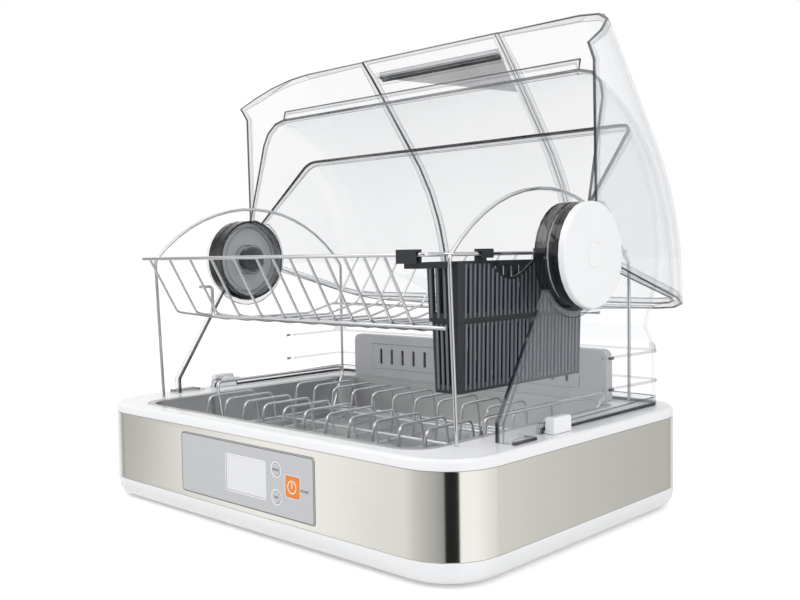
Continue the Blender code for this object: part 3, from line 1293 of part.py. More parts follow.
def make_cutlery_basket():
    band = BASKET_BAND
    levels = [(BASKET_BOTTOM, basket_inset(BASKET_BOTTOM)), (band, basket_inset(band - TOLERANCE)),
              (band, basket_inset(band)), (BASKET_TOP, 0)]
    floor = BASKET_BOTTOM + BASKET_WALL
    inner = [(BASKET_TOP, BASKET_WALL), (band + BASKET_WALL, basket_inset(band) + BASKET_WALL),
             (band + BASKET_WALL, basket_inset(band - TOLERANCE) + BASKET_WALL),
             (floor, basket_inset(BASKET_BOTTOM) + BASKET_WALL)]
    basket = loft("basket", [basket_ring(inset, height) for height, inset in levels + inner])
    basket = join(basket, *basket_hooks())
    cuts = dip_cutters()
    for low, high in ((floor, band), (band + BASKET_WALL, BASKET_TOP)):
        low, high = low + BASKET_RAIL, high - BASKET_RAIL
        length = BASKET_LENGTH - 2 * (BASKET_CORNER + basket_inset(low))
        width = BASKET_WIDTH - 2 * (BASKET_CORNER + basket_inset(low))
        half = BASKET_SLOT / 2
        for y in slot_places(length, BASKET_SLOT_COUNT):
            first, last = BASKET_Y + y - half, BASKET_Y + y + half
            right_high = min(high, BASKET_TOP - BASKET_RAIL - max(dip_at(first), dip_at(last)))
            cuts.append(box("slot", (BASKET_X - BASKET_WIDTH, first, low), (BASKET_X, last, high)))
            cuts.append(box("slot", (BASKET_X, first, low),
                            (BASKET_X + BASKET_WIDTH, last, right_high)))
        for x in slot_places(width, BASKET_END_SLOT_COUNT):
            cuts.append(box("slot", (BASKET_X + x - half, BASKET_Y - BASKET_LENGTH, low),
                            (BASKET_X + x + half, BASKET_Y + BASKET_LENGTH, high)))
    return settle(cut(basket, *cuts), "cutlery_basket", DARK_PP)


def basket_hooks():
    """Strips that rise from the right wall, pass over the loop's side wire and hang down."""
    hooks = []
    top = LOOP_HEIGHT + FRAME_WIRE + SEAT_GAP
    inner = BASKET_RIGHT - BASKET_WALL
    outer = LOOP_HALF_WIDTH + FRAME_WIRE + SEAT_GAP
    for y in HOOK_PLACES:
        outline = [(inner, BASKET_TOP - BASKET_RAIL), (BASKET_RIGHT, BASKET_TOP - BASKET_RAIL),
                   (BASKET_RIGHT, top), (outer, top), (outer, LOOP_HEIGHT - FRAME_WIRE * 2),
                   (outer + HOOK_WALL, LOOP_HEIGHT - FRAME_WIRE * 2),
                   (outer + HOOK_WALL, top + HOOK_WALL), (inner, top + HOOK_WALL)]
        hooks.append(prism("hook", outline, BASE_Y + y - HOOK_LENGTH / 2,
                           BASE_Y + y + HOOK_LENGTH / 2, "y"))
    middle = BASE_Y - LOOP_FRONT
    high = LOOP_HEIGHT + FRAME_WIRE + SEAT_GAP
    left = LOOP_HALF_WIDTH - LOOP_CORNER - HOOK_BLOCK_LENGTH
    channel = FRAME_WIRE + SEAT_GAP
    outline = [(middle - HOOK_WALL - channel, high + HOOK_WALL - HOOK_BLOCK_HEIGHT),
               (middle - channel, high + HOOK_WALL - HOOK_BLOCK_HEIGHT), (middle - channel, high),
               (middle + channel, high), (middle + channel, high + HOOK_WALL - HOOK_BLOCK_HEIGHT),
               (middle + channel + HOOK_WALL, high + HOOK_WALL - HOOK_BLOCK_HEIGHT),
               (middle + channel + HOOK_WALL, high + HOOK_WALL),
               (middle - HOOK_WALL - channel, high + HOOK_WALL)]
    block = prism("block", outline, left, left + HOOK_BLOCK_LENGTH, "x")
    arm = box("arm", (left + HOOK_WALL, middle + channel + HOOK_WALL / 2,
                      BASKET_TOP - BASKET_RAIL),
              (left + HOOK_BLOCK_LENGTH - HOOK_WALL,
               BASKET_Y - BASKET_LENGTH / 2 + BASKET_WALL / 2, BASKET_TOP))
    return hooks + [block, arm]


# Warm-air unit: a duct on the deck, and a fan, heater and board in the rear of the pan
REAR_INNER = BASE_REAR - WALL_INSET - PAN_WALL
FAN_SPOT = (FAN_Y, FAN_AXIS_HEIGHT)
SCOOP_TOP = FAN_AXIS_HEIGHT + FAN_RADIUS + SCOOP_GAP


def make_air_duct():
    """An upright slim housing; its front is open behind the grille, its foot over the slot."""
    low = DECK_TOP + SEAT_GAP
    half = DUCT_WIDTH / 2
    outline = [(-half, low), (half, low)]
    for side in (1, -1):
        middle = side * (half - DUCT_CORNER)
        for step in range(ROUND_STEPS + 1):
            turn = step / ROUND_STEPS * pi / 2
            turn = turn if side > 0 else pi / 2 + turn
            outline.append((middle + DUCT_CORNER * cos(turn),
                            low + DUCT_HEIGHT - DUCT_CORNER + DUCT_CORNER * sin(turn)))
    duct = prism("duct", outline, DUCT_FRONT, DUCT_BACK, "y")
    inner_half = GRILLE_WIDTH / 2 - GRILLE_LIP
    hollow = box("hollow", (-inner_half, DUCT_FRONT + GRILLE_THICKNESS + SEAT_GAP + DUCT_WALL,
                            low + DUCT_WALL),
                 (inner_half, DUCT_BACK - DUCT_WALL, low + DUCT_HEIGHT - DUCT_WALL))
    mouth = box("mouth", (-THROAT_WIDTH / 2, DUCT_FRONT + DUCT_WALL, low - OVERRUN),
                (THROAT_WIDTH / 2, DUCT_BACK - DUCT_WALL, low + DUCT_WALL * 2))
    middle = low + DUCT_HEIGHT / 2
    seat = box("seat", (-GRILLE_WIDTH / 2 - SEAT_GAP, DUCT_FRONT - OVERRUN,
                        middle - GRILLE_HEIGHT / 2 - SEAT_GAP),
               (GRILLE_WIDTH / 2 + SEAT_GAP, DUCT_FRONT + GRILLE_THICKNESS + SEAT_GAP,
                middle + GRILLE_HEIGHT / 2 + SEAT_GAP))
    window = box("window", (-inner_half, DUCT_FRONT, middle - GRILLE_HEIGHT / 2 + GRILLE_LIP),
                 (inner_half, DUCT_BACK - DUCT_WALL - SEAT_GAP,
                  middle + GRILLE_HEIGHT / 2 - GRILLE_LIP))
    return settle(cut(duct, hollow, mouth, seat, window), "air_duct", GREY_ABS)


def make_outlet_grille():
    middle = DECK_TOP + SEAT_GAP + DUCT_HEIGHT / 2
    grille = box("grille", (-GRILLE_WIDTH / 2, DUCT_FRONT, middle - GRILLE_HEIGHT / 2),
                 (GRILLE_WIDTH / 2, DUCT_FRONT + GRILLE_THICKNESS, middle + GRILLE_HEIGHT / 2))
    slots = []
    half_height = GRILLE_HEIGHT / 2 - GRILLE_LIP * 2
    for x in slot_places(GRILLE_WIDTH - GRILLE_LIP * 4, GRILLE_SLOT_COUNT):
        slots.append(box("slot", (x - SLOT_WIDTH / 2, DUCT_FRONT - OVERRUN, middle - half_height),
                         (x + SLOT_WIDTH / 2, DUCT_FRONT + OVERRUN, middle + half_height)))
    return settle(cut(grille, *slots), "outlet_grille", GREY_ABS)


def make_fan_wheel():
    """A cross-flow wheel: two discs, slanted blades between them, and the shaft."""
    half = FAN_LENGTH / 2
    wheel = prism("shaft", circle(FAN_SPOT, SHAFT_RADIUS, FOOT_SIDES), -half - FAN_SHAFT_END,
                  half + MOTOR_GAP, "x")
    pieces = [prism("disc", circle(FAN_SPOT, FAN_RADIUS), end - FAN_HUB_THICKNESS / 2,
                    end + FAN_HUB_THICKNESS / 2, "x") for end in (-half, half)]
    middle_radius_of_blades = FAN_RADIUS - FAN_BLADE_DEPTH / 2 - FAN_RIM
    for blade in range(FAN_BLADES):
        turn = 2 * pi * blade / FAN_BLADES
        centre = (FAN_Y + middle_radius_of_blades * cos(turn),
                  FAN_AXIS_HEIGHT + middle_radius_of_blades * sin(turn))
        slant = turn + radians(FAN_BLADE_SLANT)
        along = (cos(slant) * FAN_BLADE_DEPTH / 2, sin(slant) * FAN_BLADE_DEPTH / 2)
        thick = (-sin(slant) * FAN_BLADE_THICKNESS / 2, cos(slant) * FAN_BLADE_THICKNESS / 2)
        outline = [(centre[0] + a * along[0] + b * thick[0], centre[1] + a * along[1] + b * thick[1])
                   for a, b in ((-1, -1), (1, -1), (1, 1), (-1, 1))]
        pieces.append(prism("blade", outline, -half, half, "x"))
    return set_origin(settle(join(wheel, *pieces), "fan_wheel", BLACK_PA), (0, *FAN_SPOT))


def make_fan_motor():
    """A round motor with a flat mounting ear, standing on a post from the pan's floor."""
    start = FAN_LENGTH / 2 + FAN_SIDE_GAP + BRACKET_THICKNESS + SEAT_GAP
    motor = prism("motor", circle(FAN_SPOT, MOTOR_RADIUS), start, start + MOTOR_LENGTH, "x")
    boss = prism("boss", circle(FAN_SPOT, MOTOR_RADIUS / 2), start + MOTOR_LENGTH - TOLERANCE,
                 start + MOTOR_LENGTH + MOTOR_GAP, "x")
    bore = prism("bore", circle(FAN_SPOT, SHAFT_RADIUS + RUN_GAP, FOOT_SIDES), start - OVERRUN,
                 start + MOTOR_GAP, "x")
    return settle(cut(join(motor, boss), bore), "fan_motor", ZINC)


def make_fan_bracket():
    """A bent plate: a foot on the pan's floor and a wall that holds the motor's end."""
    x = FAN_LENGTH / 2 + FAN_SIDE_GAP
    low = PAN_FLOOR_TOP + SEAT_GAP
    wall = box("wall", (x, FAN_Y - MOTOR_RADIUS, low),
               (x + BRACKET_THICKNESS, FAN_Y + MOTOR_RADIUS, SCOOP_TOP))
    foot = box("foot", (x, FAN_Y - MOTOR_RADIUS, low),
               (x + MOTOR_LENGTH, FAN_Y + MOTOR_RADIUS, low + BRACKET_THICKNESS))
    hole = prism("hole", circle(FAN_SPOT, SHAFT_RADIUS * 2), x - OVERRUN, x + OVERRUN, "x")
    return settle(cut(join(wall, foot), hole), "fan_bracket", ZINC)


def make_fan_scoop():
    """The fan's housing: end walls, a back that turns up, and an open throat to the heater."""
    half = FAN_LENGTH / 2 + FAN_SIDE_GAP - SEAT_GAP
    outer = FAN_RADIUS + SCOOP_GAP + SCOOP_WALL
    low = PAN_FLOOR_TOP + SEAT_GAP
    scoop = box("scoop", (-half - SCOOP_WALL, FAN_Y - outer, low),
                (half - SEAT_GAP, FAN_Y + outer, SCOOP_TOP))
    inner = FAN_RADIUS + SCOOP_GAP
    hollow = box("hollow", (-half, FAN_Y - inner, low - OVERRUN),
                 (half + OVERRUN, FAN_Y + inner, SCOOP_TOP + OVERRUN))
    hole = prism("hole", circle(FAN_SPOT, SHAFT_RADIUS + RUN_GAP, FOOT_SIDES),
                 -half - OVERRUN, -half + OVERRUN, "x")
    return settle(cut(scoop, hollow, hole), "fan_scoop", GREY_ABS)


def make_heater():
    """Bars with thin fins, held by two end plates that stand on the fan's housing."""
    low = SCOOP_TOP + SEAT_GAP + HEATER_LIFT
    half = THROAT_WIDTH / 2 - HEATER_FIN_PITCH / 2
    bars = []
    for side in (-1, 1):
        x = side * (half + HEATER_END / 2)
        bars.append(box("end", (x - HEATER_PLATE / 2, FAN_Y - HEATER_DEPTH / 2,
                                SCOOP_TOP + SEAT_GAP),
                        (x + HEATER_PLATE / 2, FAN_Y + HEATER_DEPTH / 2, low + HEATER_HEIGHT)))
        y = FAN_Y + side * HEATER_DEPTH / 4
        z = low + HEATER_HEIGHT / 2
        bars.append(box("bar", (-half - HEATER_END, y - HEATER_BAR / 2, z - HEATER_BAR / 2),
                        (half + HEATER_END, y + HEATER_BAR / 2, z + HEATER_BAR / 2)))
    fins = []
    count = int(2 * half / HEATER_FIN_PITCH) + 1
    for x in slot_places(count * HEATER_FIN_PITCH, count):
        fins.append(box("fin", (x - HEATER_FIN_THICKNESS / 2, FAN_Y - HEATER_DEPTH / 2, low),
                        (x + HEATER_FIN_THICKNESS / 2, FAN_Y + HEATER_DEPTH / 2,
                         low + HEATER_HEIGHT)))
    return settle(join(*bars, *fins), "heater", ALUMINIUM)


def make_control_board():
    low = PAN_FLOOR_TOP + SEAT_GAP + STANDOFF_HEIGHT
    front, rear = REAR_INNER - BOARD_DEPTH - BOARD_CLEARANCE, REAR_INNER - BOARD_CLEARANCE
    board = box("board", (BOARD_LEFT, front, low),
                (BOARD_LEFT + BOARD_LENGTH, rear, low + BOARD_THICKNESS))
    parts = []
    for x in (BOARD_LEFT + STANDOFF_RADIUS, BOARD_LEFT + BOARD_LENGTH - STANDOFF_RADIUS):
        for y in (front + STANDOFF_RADIUS, rear - STANDOFF_RADIUS):
            parts.append(vertical_pillar("standoff", (x, y), STANDOFF_RADIUS * STANDOFF_SHARE,
                                         PAN_FLOOR_TOP + SEAT_GAP, low + BOARD_THICKNESS / 2,
                                         FOOT_SIDES))
    for start, length, depth, height in BOARD_PARTS:
        middle = (front + rear) / 2
        parts.append(box("part", (BOARD_LEFT + start, middle - depth / 2, low),
                         (BOARD_LEFT + start + length, middle + depth / 2, low + height)))
    return settle(join(board, *parts), "control_board", CIRCUIT)


def make_intake_filter():
    half_x = (INTAKE_SLOT_COUNT * SLOT_PITCH) / 2
    low = PAN_FLOOR_TOP + SEAT_GAP
    return settle(box("filter", (-half_x, FAN_Y - INTAKE_SLOT_LENGTH / 2, low),
                      (half_x, FAN_Y + INTAKE_SLOT_LENGTH / 2, low + FILTER_THICKNESS)),
                  "intake_filter", FOAM)


def make_cord_gland():
    """A bush in the rear wall with a flange outside and an open bore; no cord is shown."""
    inside, outside = REAR_INNER - GLAND_FLANGE_THICKNESS, BASE_REAR + SEAT_GAP
    bush = prism("bush", circle(GLAND_SPOT, GLAND_RADIUS), inside,
                 outside + GLAND_FLANGE_THICKNESS / 2, "y")
    flange = prism("flange", circle(GLAND_SPOT, GLAND_FLANGE), outside,
                   outside + GLAND_FLANGE_THICKNESS, "y")
    bore = prism("bore", circle(GLAND_SPOT, GLAND_BORE), inside - OVERRUN,
                 outside + OVERRUN, "y")
    return settle(cut(join(bush, flange), bore), "cord_gland", BLACK_PA)


make_bottom_pan()
make_rubber_feet()
make_pan_screws()
make_steel_band()
make_top_rim()
make_drip_tray()
make_control_panel()
make_display_window()
make_buttons()
make_button_board()
make_rear_cover()
make_middle_cover()
make_front_lid()
make_hinge_pins()
make_hinge_spacers()
make_hinge_caps()
make_cover_clips()
make_upper_rack()
make_lower_rack()
make_cutlery_basket()
make_air_duct()
make_outlet_grille()
make_fan_wheel()
make_fan_motor()
make_fan_bracket()
make_fan_scoop()
make_heater()
make_control_board()
make_intake_filter()
make_cord_gland()
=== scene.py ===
# %% [markdown]
# # A countertop dish dryer
# The dryer has a warm-air base with a white pan and a bright steel band, two chromed wire
# racks, a dark cutlery basket, and a clear hood in three shells that turns back about two
# big hubs. The CAD parts are the fixed frame. Here each of them gets the surface that it has
# on the real object, and the pieces that show most are modelled again with rounder forms.

import json
from math import atan2, cos, pi, radians, sin, sqrt

import bpy
from mathutils import Matrix, Vector

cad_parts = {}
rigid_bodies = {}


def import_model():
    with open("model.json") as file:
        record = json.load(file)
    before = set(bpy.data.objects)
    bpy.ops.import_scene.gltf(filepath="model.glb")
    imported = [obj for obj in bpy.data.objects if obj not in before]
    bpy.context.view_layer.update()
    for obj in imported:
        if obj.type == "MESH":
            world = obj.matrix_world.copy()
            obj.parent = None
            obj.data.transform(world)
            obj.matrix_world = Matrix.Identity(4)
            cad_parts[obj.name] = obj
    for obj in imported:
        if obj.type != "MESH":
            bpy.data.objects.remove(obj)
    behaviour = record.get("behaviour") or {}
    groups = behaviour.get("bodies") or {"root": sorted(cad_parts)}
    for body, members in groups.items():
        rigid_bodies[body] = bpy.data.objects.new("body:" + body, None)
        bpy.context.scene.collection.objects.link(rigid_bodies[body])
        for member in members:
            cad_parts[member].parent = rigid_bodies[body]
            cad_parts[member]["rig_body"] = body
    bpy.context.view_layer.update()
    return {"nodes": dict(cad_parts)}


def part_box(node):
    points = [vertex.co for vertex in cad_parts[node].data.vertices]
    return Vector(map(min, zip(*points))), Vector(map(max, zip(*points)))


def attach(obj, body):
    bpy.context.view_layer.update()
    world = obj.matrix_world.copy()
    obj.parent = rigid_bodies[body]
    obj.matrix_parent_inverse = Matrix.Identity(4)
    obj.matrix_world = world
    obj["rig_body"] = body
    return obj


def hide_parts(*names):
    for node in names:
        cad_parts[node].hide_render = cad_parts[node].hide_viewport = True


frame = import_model()
MM = 0.001

# %% [markdown]
# ## Camera
# The photograph was taken from the right front, a little above the racks. Its station and
# turn were worked out from points on the base and the hubs, so they are written as numbers.
# The camera looks level but for 2.7 degrees, which is why the base shows so little of its top.

# %% Place the camera
FRAME_WIDTH_PX, SENSOR_WIDTH_MM, FOCAL_PX = 800, 36, 942.4
CAMERA_PLACE = (0.6802, -0.70714, 0.2487)
AZIMUTH, PITCH, ROLL = radians(43.49), radians(2.716), radians(-0.894)

forward = Vector((-sin(AZIMUTH) * cos(PITCH), cos(AZIMUTH) * cos(PITCH), -sin(PITCH)))
level_right = Vector((cos(AZIMUTH), sin(AZIMUTH), 0))
upright = level_right.cross(forward)
right = level_right * cos(ROLL) + upright * sin(ROLL)
up = upright * cos(ROLL) - level_right * sin(ROLL)
lens = bpy.data.cameras.new("camera")
lens.sensor_width = SENSOR_WIDTH_MM
lens.lens = FOCAL_PX * SENSOR_WIDTH_MM / FRAME_WIDTH_PX
lens.clip_start, lens.clip_end = 0.01, 100
camera = bpy.data.objects.new("camera", lens)
bpy.context.scene.collection.objects.link(camera)
turn = Matrix((right, up, -forward)).transposed()
camera.matrix_world = Matrix.Translation(CAMERA_PLACE) @ turn.to_4x4()
bpy.context.scene.camera = camera
print("lens", round(lens.lens, 2), "mm")

# %% [markdown]
# ## Tools for finishes
# Colours are read off as sRGB hex values, but shaders add up light, so one function turns
# them to linear. Each finish is one Principled shader with small patterns on Object
# coordinates. As every piece sits at the origin, these are plain metres, so a pattern's
# scale is simply the number of features in a metre.

# %% Colours, nodes and a base finish
MIX_FIRST, MIX_SECOND, MIX_COLOUR = 6, 7, 2  # a Mix node's two colour inputs and its output


def linear(colour):
    """An sRGB hex colour as linear red, green, blue and alpha."""
    parts = [int(colour[place:place + 2], 16) / 255 for place in (0, 2, 4)]
    return [part / 12.92 if part <= 0.04045 else ((part + 0.055) / 1.055) ** 2.4
            for part in parts] + [1.0]


def add_node(finish, kind, settings, links=()):
    """Add a node, set its fields and inputs by name, and link the sockets that it is given."""
    node = finish.node_tree.nodes.new(kind)
    for name, value in settings.items():
        if hasattr(node, name):
            setattr(node, name, value)
        else:
            node.inputs[name].default_value = value
    for name, socket in dict(links).items():
        finish.node_tree.links.new(socket, node.inputs[name])
    return node


def finish_of(name, colour, roughness, metallic=0.0, **more):
    """A material with one Principled shader; more sets its other sockets."""
    finish = bpy.data.materials.new(name)
    finish.use_nodes = True
    shader = finish.node_tree.nodes["Principled BSDF"]
    shader.inputs["Base Color"].default_value = linear(colour)
    shader.inputs["Roughness"].default_value = roughness
    shader.inputs["Metallic"].default_value = metallic
    for field, value in more.items():
        shader.inputs[field.replace("_", " ")].default_value = value
    return finish


def surface_points(finish, stretch=(1, 1, 1)):
    """Object coordinates, stretched where a pattern runs one way."""
    places = add_node(finish, "ShaderNodeTexCoord", {})
    return add_node(finish, "ShaderNodeMapping", {"Scale": stretch},
                    {"Vector": places.outputs["Object"]}).outputs["Vector"]


def mottle(finish, size_mm, colours, roughness, stretch=(1, 1, 1), detail=3.0):
    """Vary colour and roughness with one soft noise whose patches have a real size."""
    shader = finish.node_tree.nodes["Principled BSDF"]
    noise = add_node(finish, "ShaderNodeTexNoise", {"Scale": 1 / (size_mm * MM), "Detail": detail},
                     {"Vector": surface_points(finish, stretch)})
    tint = add_node(finish, "ShaderNodeMix", {"data_type": "RGBA"},
                    {"Factor": noise.outputs["Fac"]})
    tint.inputs[MIX_FIRST].default_value = linear(colours[0])
    tint.inputs[MIX_SECOND].default_value = linear(colours[1])
    finish.node_tree.links.new(tint.outputs[MIX_COLOUR], shader.inputs["Base Color"])
    spread = add_node(finish, "ShaderNodeMapRange", {"To Min": roughness[0],
                                                     "To Max": roughness[1]},
                      {"Value": noise.outputs["Fac"]})
    finish.node_tree.links.new(spread.outputs["Result"], shader.inputs["Roughness"])
    return noise


def grain(finish, size_mm, depth_mm, stretch=(1, 1, 1), detail=2.0):
    """Fine relief: the grain of a mould, brush lines or foam."""
    shader = finish.node_tree.nodes["Principled BSDF"]
    noise = add_node(finish, "ShaderNodeTexNoise", {"Scale": 1 / (size_mm * MM), "Detail": detail},
                     {"Vector": surface_points(finish, stretch)})
    bump = add_node(finish, "ShaderNodeBump", {"Strength": 1.0, "Distance": depth_mm * MM},
                    {"Height": noise.outputs["Fac"]})
    finish.node_tree.links.new(bump.outputs["Normal"], shader.inputs["Normal"])


print("finish tools are ready")

# %% [markdown]
# ## White ABS, grey ABS and other moulded plastics
# The pan, rim, caps and clips are ABS from a polished mould. That gives the eye a soft white
# with clean, slightly blurred highlights, and a faint waviness where the walls have sunk.
# Grey ABS is the same with a matt mould. The basket is polypropylene with a fine grain, which
# breaks its highlights into a grey sheen. The grain is really about 0.1 mm; it is drawn at
# 0.5 mm so that it shows.

# %% Mix the plastics
white_abs = finish_of("moulded_white_abs", "F4F5F6", 0.22, IOR=1.53)
mottle(white_abs, 60, ("F2F3F5", "F7F8F9"), (0.18, 0.27))
grain(white_abs, 14, 0.02)
grey_abs = finish_of("matt_grey_abs", "BDBFC2", 0.42, IOR=1.53)
mottle(grey_abs, 40, ("B9BBBE", "C3C5C8"), (0.38, 0.48))
grain(grey_abs, 0.8, 0.02)
dark_pp = finish_of("grained_dark_polypropylene", "24282E", 0.42, IOR=1.49)
mottle(dark_pp, 25, ("1F2328", "2A2E35"), (0.34, 0.5))
grain(dark_pp, 0.5, 0.03)
# The ribs get a lighter copy of the basket plastic: the lighter grey is painted highlight.
rib_pp_painted_highlight = finish_of("dark_polypropylene_painted_highlight", "686E76", 0.38, IOR=1.49)
mottle(rib_pp_painted_highlight, 25, ("60666E", "70767E"), (0.32, 0.45))
black_pa = finish_of("black_nylon", "1D1E20", 0.45, IOR=1.53)
mottle(black_pa, 12, ("1A1B1D", "232427"), (0.4, 0.55))
rubber = finish_of("grey_rubber", "6C6E70", 0.8, IOR=1.52)
mottle(rubber, 6, ("636567", "747678"), (0.72, 0.9))
foam = finish_of("open_filter_foam", "4C4F52", 0.95)
mottle(foam, 2, ("2C2E30", "63666A"), (0.9, 1.0))
grain(foam, 1.5, 0.5)
print("seven plastics, rubbers and foams")

# %% [markdown]
# ## Metals
# The band is stainless steel, bright finished along its length, so it mirrors the room in
# soft vertical gradients and has very fine lines that run round the base. The wires are steel
# with a bright nickel-chrome plating. The tray is plain brushed stainless. A metal keeps the
# default IOR and takes its colour from the base colour.

# %% Mix the metals
band_steel = finish_of("bright_stainless_band", "F1EFE9", 0.12, 1.0)
mottle(band_steel, 30, ("EFEDE6", "F4F2EC"), (0.1, 0.14), (1, 1, 14))
grain(band_steel, 30, 0.004, (1, 1, 60))
tray_steel = finish_of("brushed_stainless_tray", "C2C3C4", 0.32, 1.0)
mottle(tray_steel, 20, ("BCBDBE", "C8C9CA"), (0.28, 0.38), (1, 30, 30))
grain(tray_steel, 20, 0.01, (1, 60, 60))
chrome = finish_of("bright_chrome_plating", "DCDDDF", 0.1, 1.0)
mottle(chrome, 18, ("D6D7DA", "E2E3E5"), (0.07, 0.14))
aluminium = finish_of("bare_aluminium", "C9CBCD", 0.38, 1.0)
mottle(aluminium, 8, ("C2C4C6", "CFD1D3"), (0.34, 0.46))
zinc = finish_of("zinc_plated_steel", "B2B4B2", 0.36, 1.0)
mottle(zinc, 5, ("A9ABA9", "BCBEBA"), (0.3, 0.45))
print("five metals")

# %% [markdown]
# ## Control panel finishes
# The panel is a sheet of silver film over plastic, printed and slightly brushed along its
# length. Its display lens is pale and blank while the dryer is off. The keys are soft-touch
# caps, and the power key is bright orange.

# %% Mix the panel's finishes
panel_film = finish_of("brushed_silver_film", "CFD0D3", 0.4, 0.25)
mottle(panel_film, 12, ("CBCCCF", "D3D4D7"), (0.36, 0.46), (1, 30, 30))
lens_film = finish_of("pale_display_lens", "E8E9EC", 0.18, Coat_Weight=0.3)
mottle(lens_film, 30, ("E6E7EA", "ECEDF0"), (0.15, 0.22))
key_cap = finish_of("satin_key_cap", "C9CACD", 0.4, IOR=1.53)
mottle(key_cap, 6, ("C5C6C9", "CFD0D3"), (0.36, 0.46))
orange_cap = finish_of("orange_key_cap", "F2871E", 0.32, IOR=1.53)
mottle(orange_cap, 9, ("F08018", "F59030"), (0.28, 0.38))
white_ink = finish_of("white_print", "F6F7F8", 0.45)
mottle(white_ink, 3, ("F4F5F6", "FAFBFC"), (0.4, 0.5))
dark_ink = finish_of("dark_print", "2A2B2E", 0.5)
mottle(dark_ink, 3, ("252629", "303134"), (0.45, 0.55))
board_green = finish_of("green_circuit_laminate", "1E6B3C", 0.45, IOR=1.55)
mottle(board_green, 7, ("195C33", "267A47"), (0.38, 0.52))
print("seven panel finishes")

# %% [markdown]
# ## Clear hood plastic
# The shells are clear SAN, 2 mm thick. Light passes straight through their broad faces, which
# are only seen by a faint cool tint and by their gloss where the eye looks along them. The
# cut edges look almost black, because light that enters there runs along inside the wall; here
# that dark is painted shade, a near-black colour on the edge faces. The band beside an edge, the
# beads and the hubs get lighter painted shade, between the two. A shader that lets light pass by
# its alpha keeps what is behind it sharp and bright, and a Layer Weight node makes the slanting
# parts denser, as a real sheet is.

# %% Mix the clear plastics
SLANT_POWER, CLOUD_MM, THINNEST, THICKEST = 2.4, 90, 0.7, 1.4


def clear_finish(name, colour, roughness, front, slant):
    """Clear plastic with one density seen square on and another seen aslant."""
    finish = finish_of(name, colour, roughness, IOR=1.57)
    shader = finish.node_tree.nodes["Principled BSDF"]
    facing = add_node(finish, "ShaderNodeLayerWeight", {"Blend": 0.5})
    power = add_node(finish, "ShaderNodeMath", {"operation": "POWER"},
                     {0: facing.outputs["Facing"]})
    power.inputs[1].default_value = SLANT_POWER
    cloud = add_node(finish, "ShaderNodeTexNoise", {"Scale": 1 / (CLOUD_MM * MM)},
                     {"Vector": surface_points(finish)})
    uneven = add_node(finish, "ShaderNodeMapRange",
                      {"To Min": front * THINNEST, "To Max": front * THICKEST},
                      {"Value": cloud.outputs["Fac"]})
    density = add_node(finish, "ShaderNodeMapRange", {"To Max": slant},
                       {"Value": power.outputs["Value"], "To Min": uneven.outputs["Result"]})
    finish.node_tree.links.new(density.outputs["Result"], shader.inputs["Alpha"])
    return finish


clear_wall = clear_finish("clear_san_wall", "E2E7ED", 0.05, 0.03, 0.4)
# Band, cut edge, bead and hub finishes are painted shade: dark colours and dense alpha stand in
# for the dark that refraction shows there.
clear_band_painted_shade = clear_finish("clear_san_band_painted_shade", "C0C6CE", 0.06, 0.16, 0.6)
clear_edge_painted_dark = clear_finish("clear_san_cut_edge_painted_dark", "1B1D21", 0.08, 0.85, 0.97)
clear_bead_painted_shade = clear_finish("clear_san_bead_painted_shade", "5C6168", 0.06, 0.3, 0.75)
clear_hub_painted_shade = clear_finish("clear_san_hub_painted_shade", "50545B", 0.06, 0.6, 0.95)
print("five clear plastics")

# %% [markdown]
# ## Taking over a CAD part
# A CAD mesh comes as loose triangles, so it shades in flat facets. A copy is merged, its flat
# areas are dissolved back into whole faces, and its sharp edges get a small bevel like the
# radius that a mould or a press leaves. Then the light runs round each edge. The copy stays
# where the CAD part is, rides on the same body, and the CAD part is hidden behind it.

# %% Helpers for pieces
SKIN_MERGE, FLAT_ANGLE = 0.01 * MM, radians(0.4)


def take(*pieces):
    """Select only these pieces, the last one active."""
    bpy.ops.object.select_all(action="DESELECT")
    for piece in pieces:
        piece.hide_set(False)
        piece.select_set(True)
    bpy.context.view_layer.objects.active = pieces[-1]


def copy_of(node, name):
    """A merged copy of a CAD node's mesh."""
    piece = bpy.data.objects.new(name, frame["nodes"][node].data.copy())
    bpy.context.scene.collection.objects.link(piece)
    piece.data.materials.clear()
    take(piece)
    bpy.ops.object.mode_set(mode="EDIT")
    bpy.ops.mesh.select_all(action="SELECT")
    bpy.ops.mesh.remove_doubles(threshold=SKIN_MERGE)
    bpy.ops.mesh.dissolve_limited(angle_limit=FLAT_ANGLE)
    bpy.ops.object.mode_set(mode="OBJECT")
    if piece.data.has_custom_normals:
        bpy.ops.mesh.customdata_custom_splitnormals_clear()
    return piece


def soften(piece, width_mm, angle=40, segments=2):
    """Bevel the sharp edges and shade the rest smooth."""
    take(piece)
    if width_mm:
        bevel = piece.modifiers.new("soften", "BEVEL")
        bevel.width = width_mm * MM
        bevel.segments = segments
        bevel.limit_method = "ANGLE"
        bevel.angle_limit = radians(angle)
        bevel.harden_normals = False
        bpy.ops.object.modifier_apply(modifier="soften")
    bpy.ops.object.shade_smooth_by_angle(angle=radians(angle))
    even = piece.modifiers.new("even", "WEIGHTED_NORMAL")
    even.keep_sharp = True
    bpy.ops.object.modifier_apply(modifier="even")
    return piece


def body_of(node):
    """The name of the body that a CAD node moves with."""
    return frame["nodes"][node]["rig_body"]


def wear(piece, node, *finishes):
    """Give a piece its finishes, each in its own slot, and put it on the body of a CAD node."""
    for finish in finishes:
        piece.data.materials.append(finish)
    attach(piece, body_of(node))
    return piece


def dress(node, name, finish, width_mm):
    """A softened copy that stands for its CAD node."""
    piece = wear(soften(copy_of(node, name), width_mm), node, finish)
    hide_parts(node)
    return piece


print("piece helpers are ready")

# %% [markdown]
# ## Base
# The base is a white pan, the steel band round it and the white rim on top. Their forms are
# right in CAD, so softened copies carry the finishes. The edge radii are those of such parts:
# 0.5 to 0.8 mm on the larger mouldings and 0.3 mm at most on the steel and the small ones.

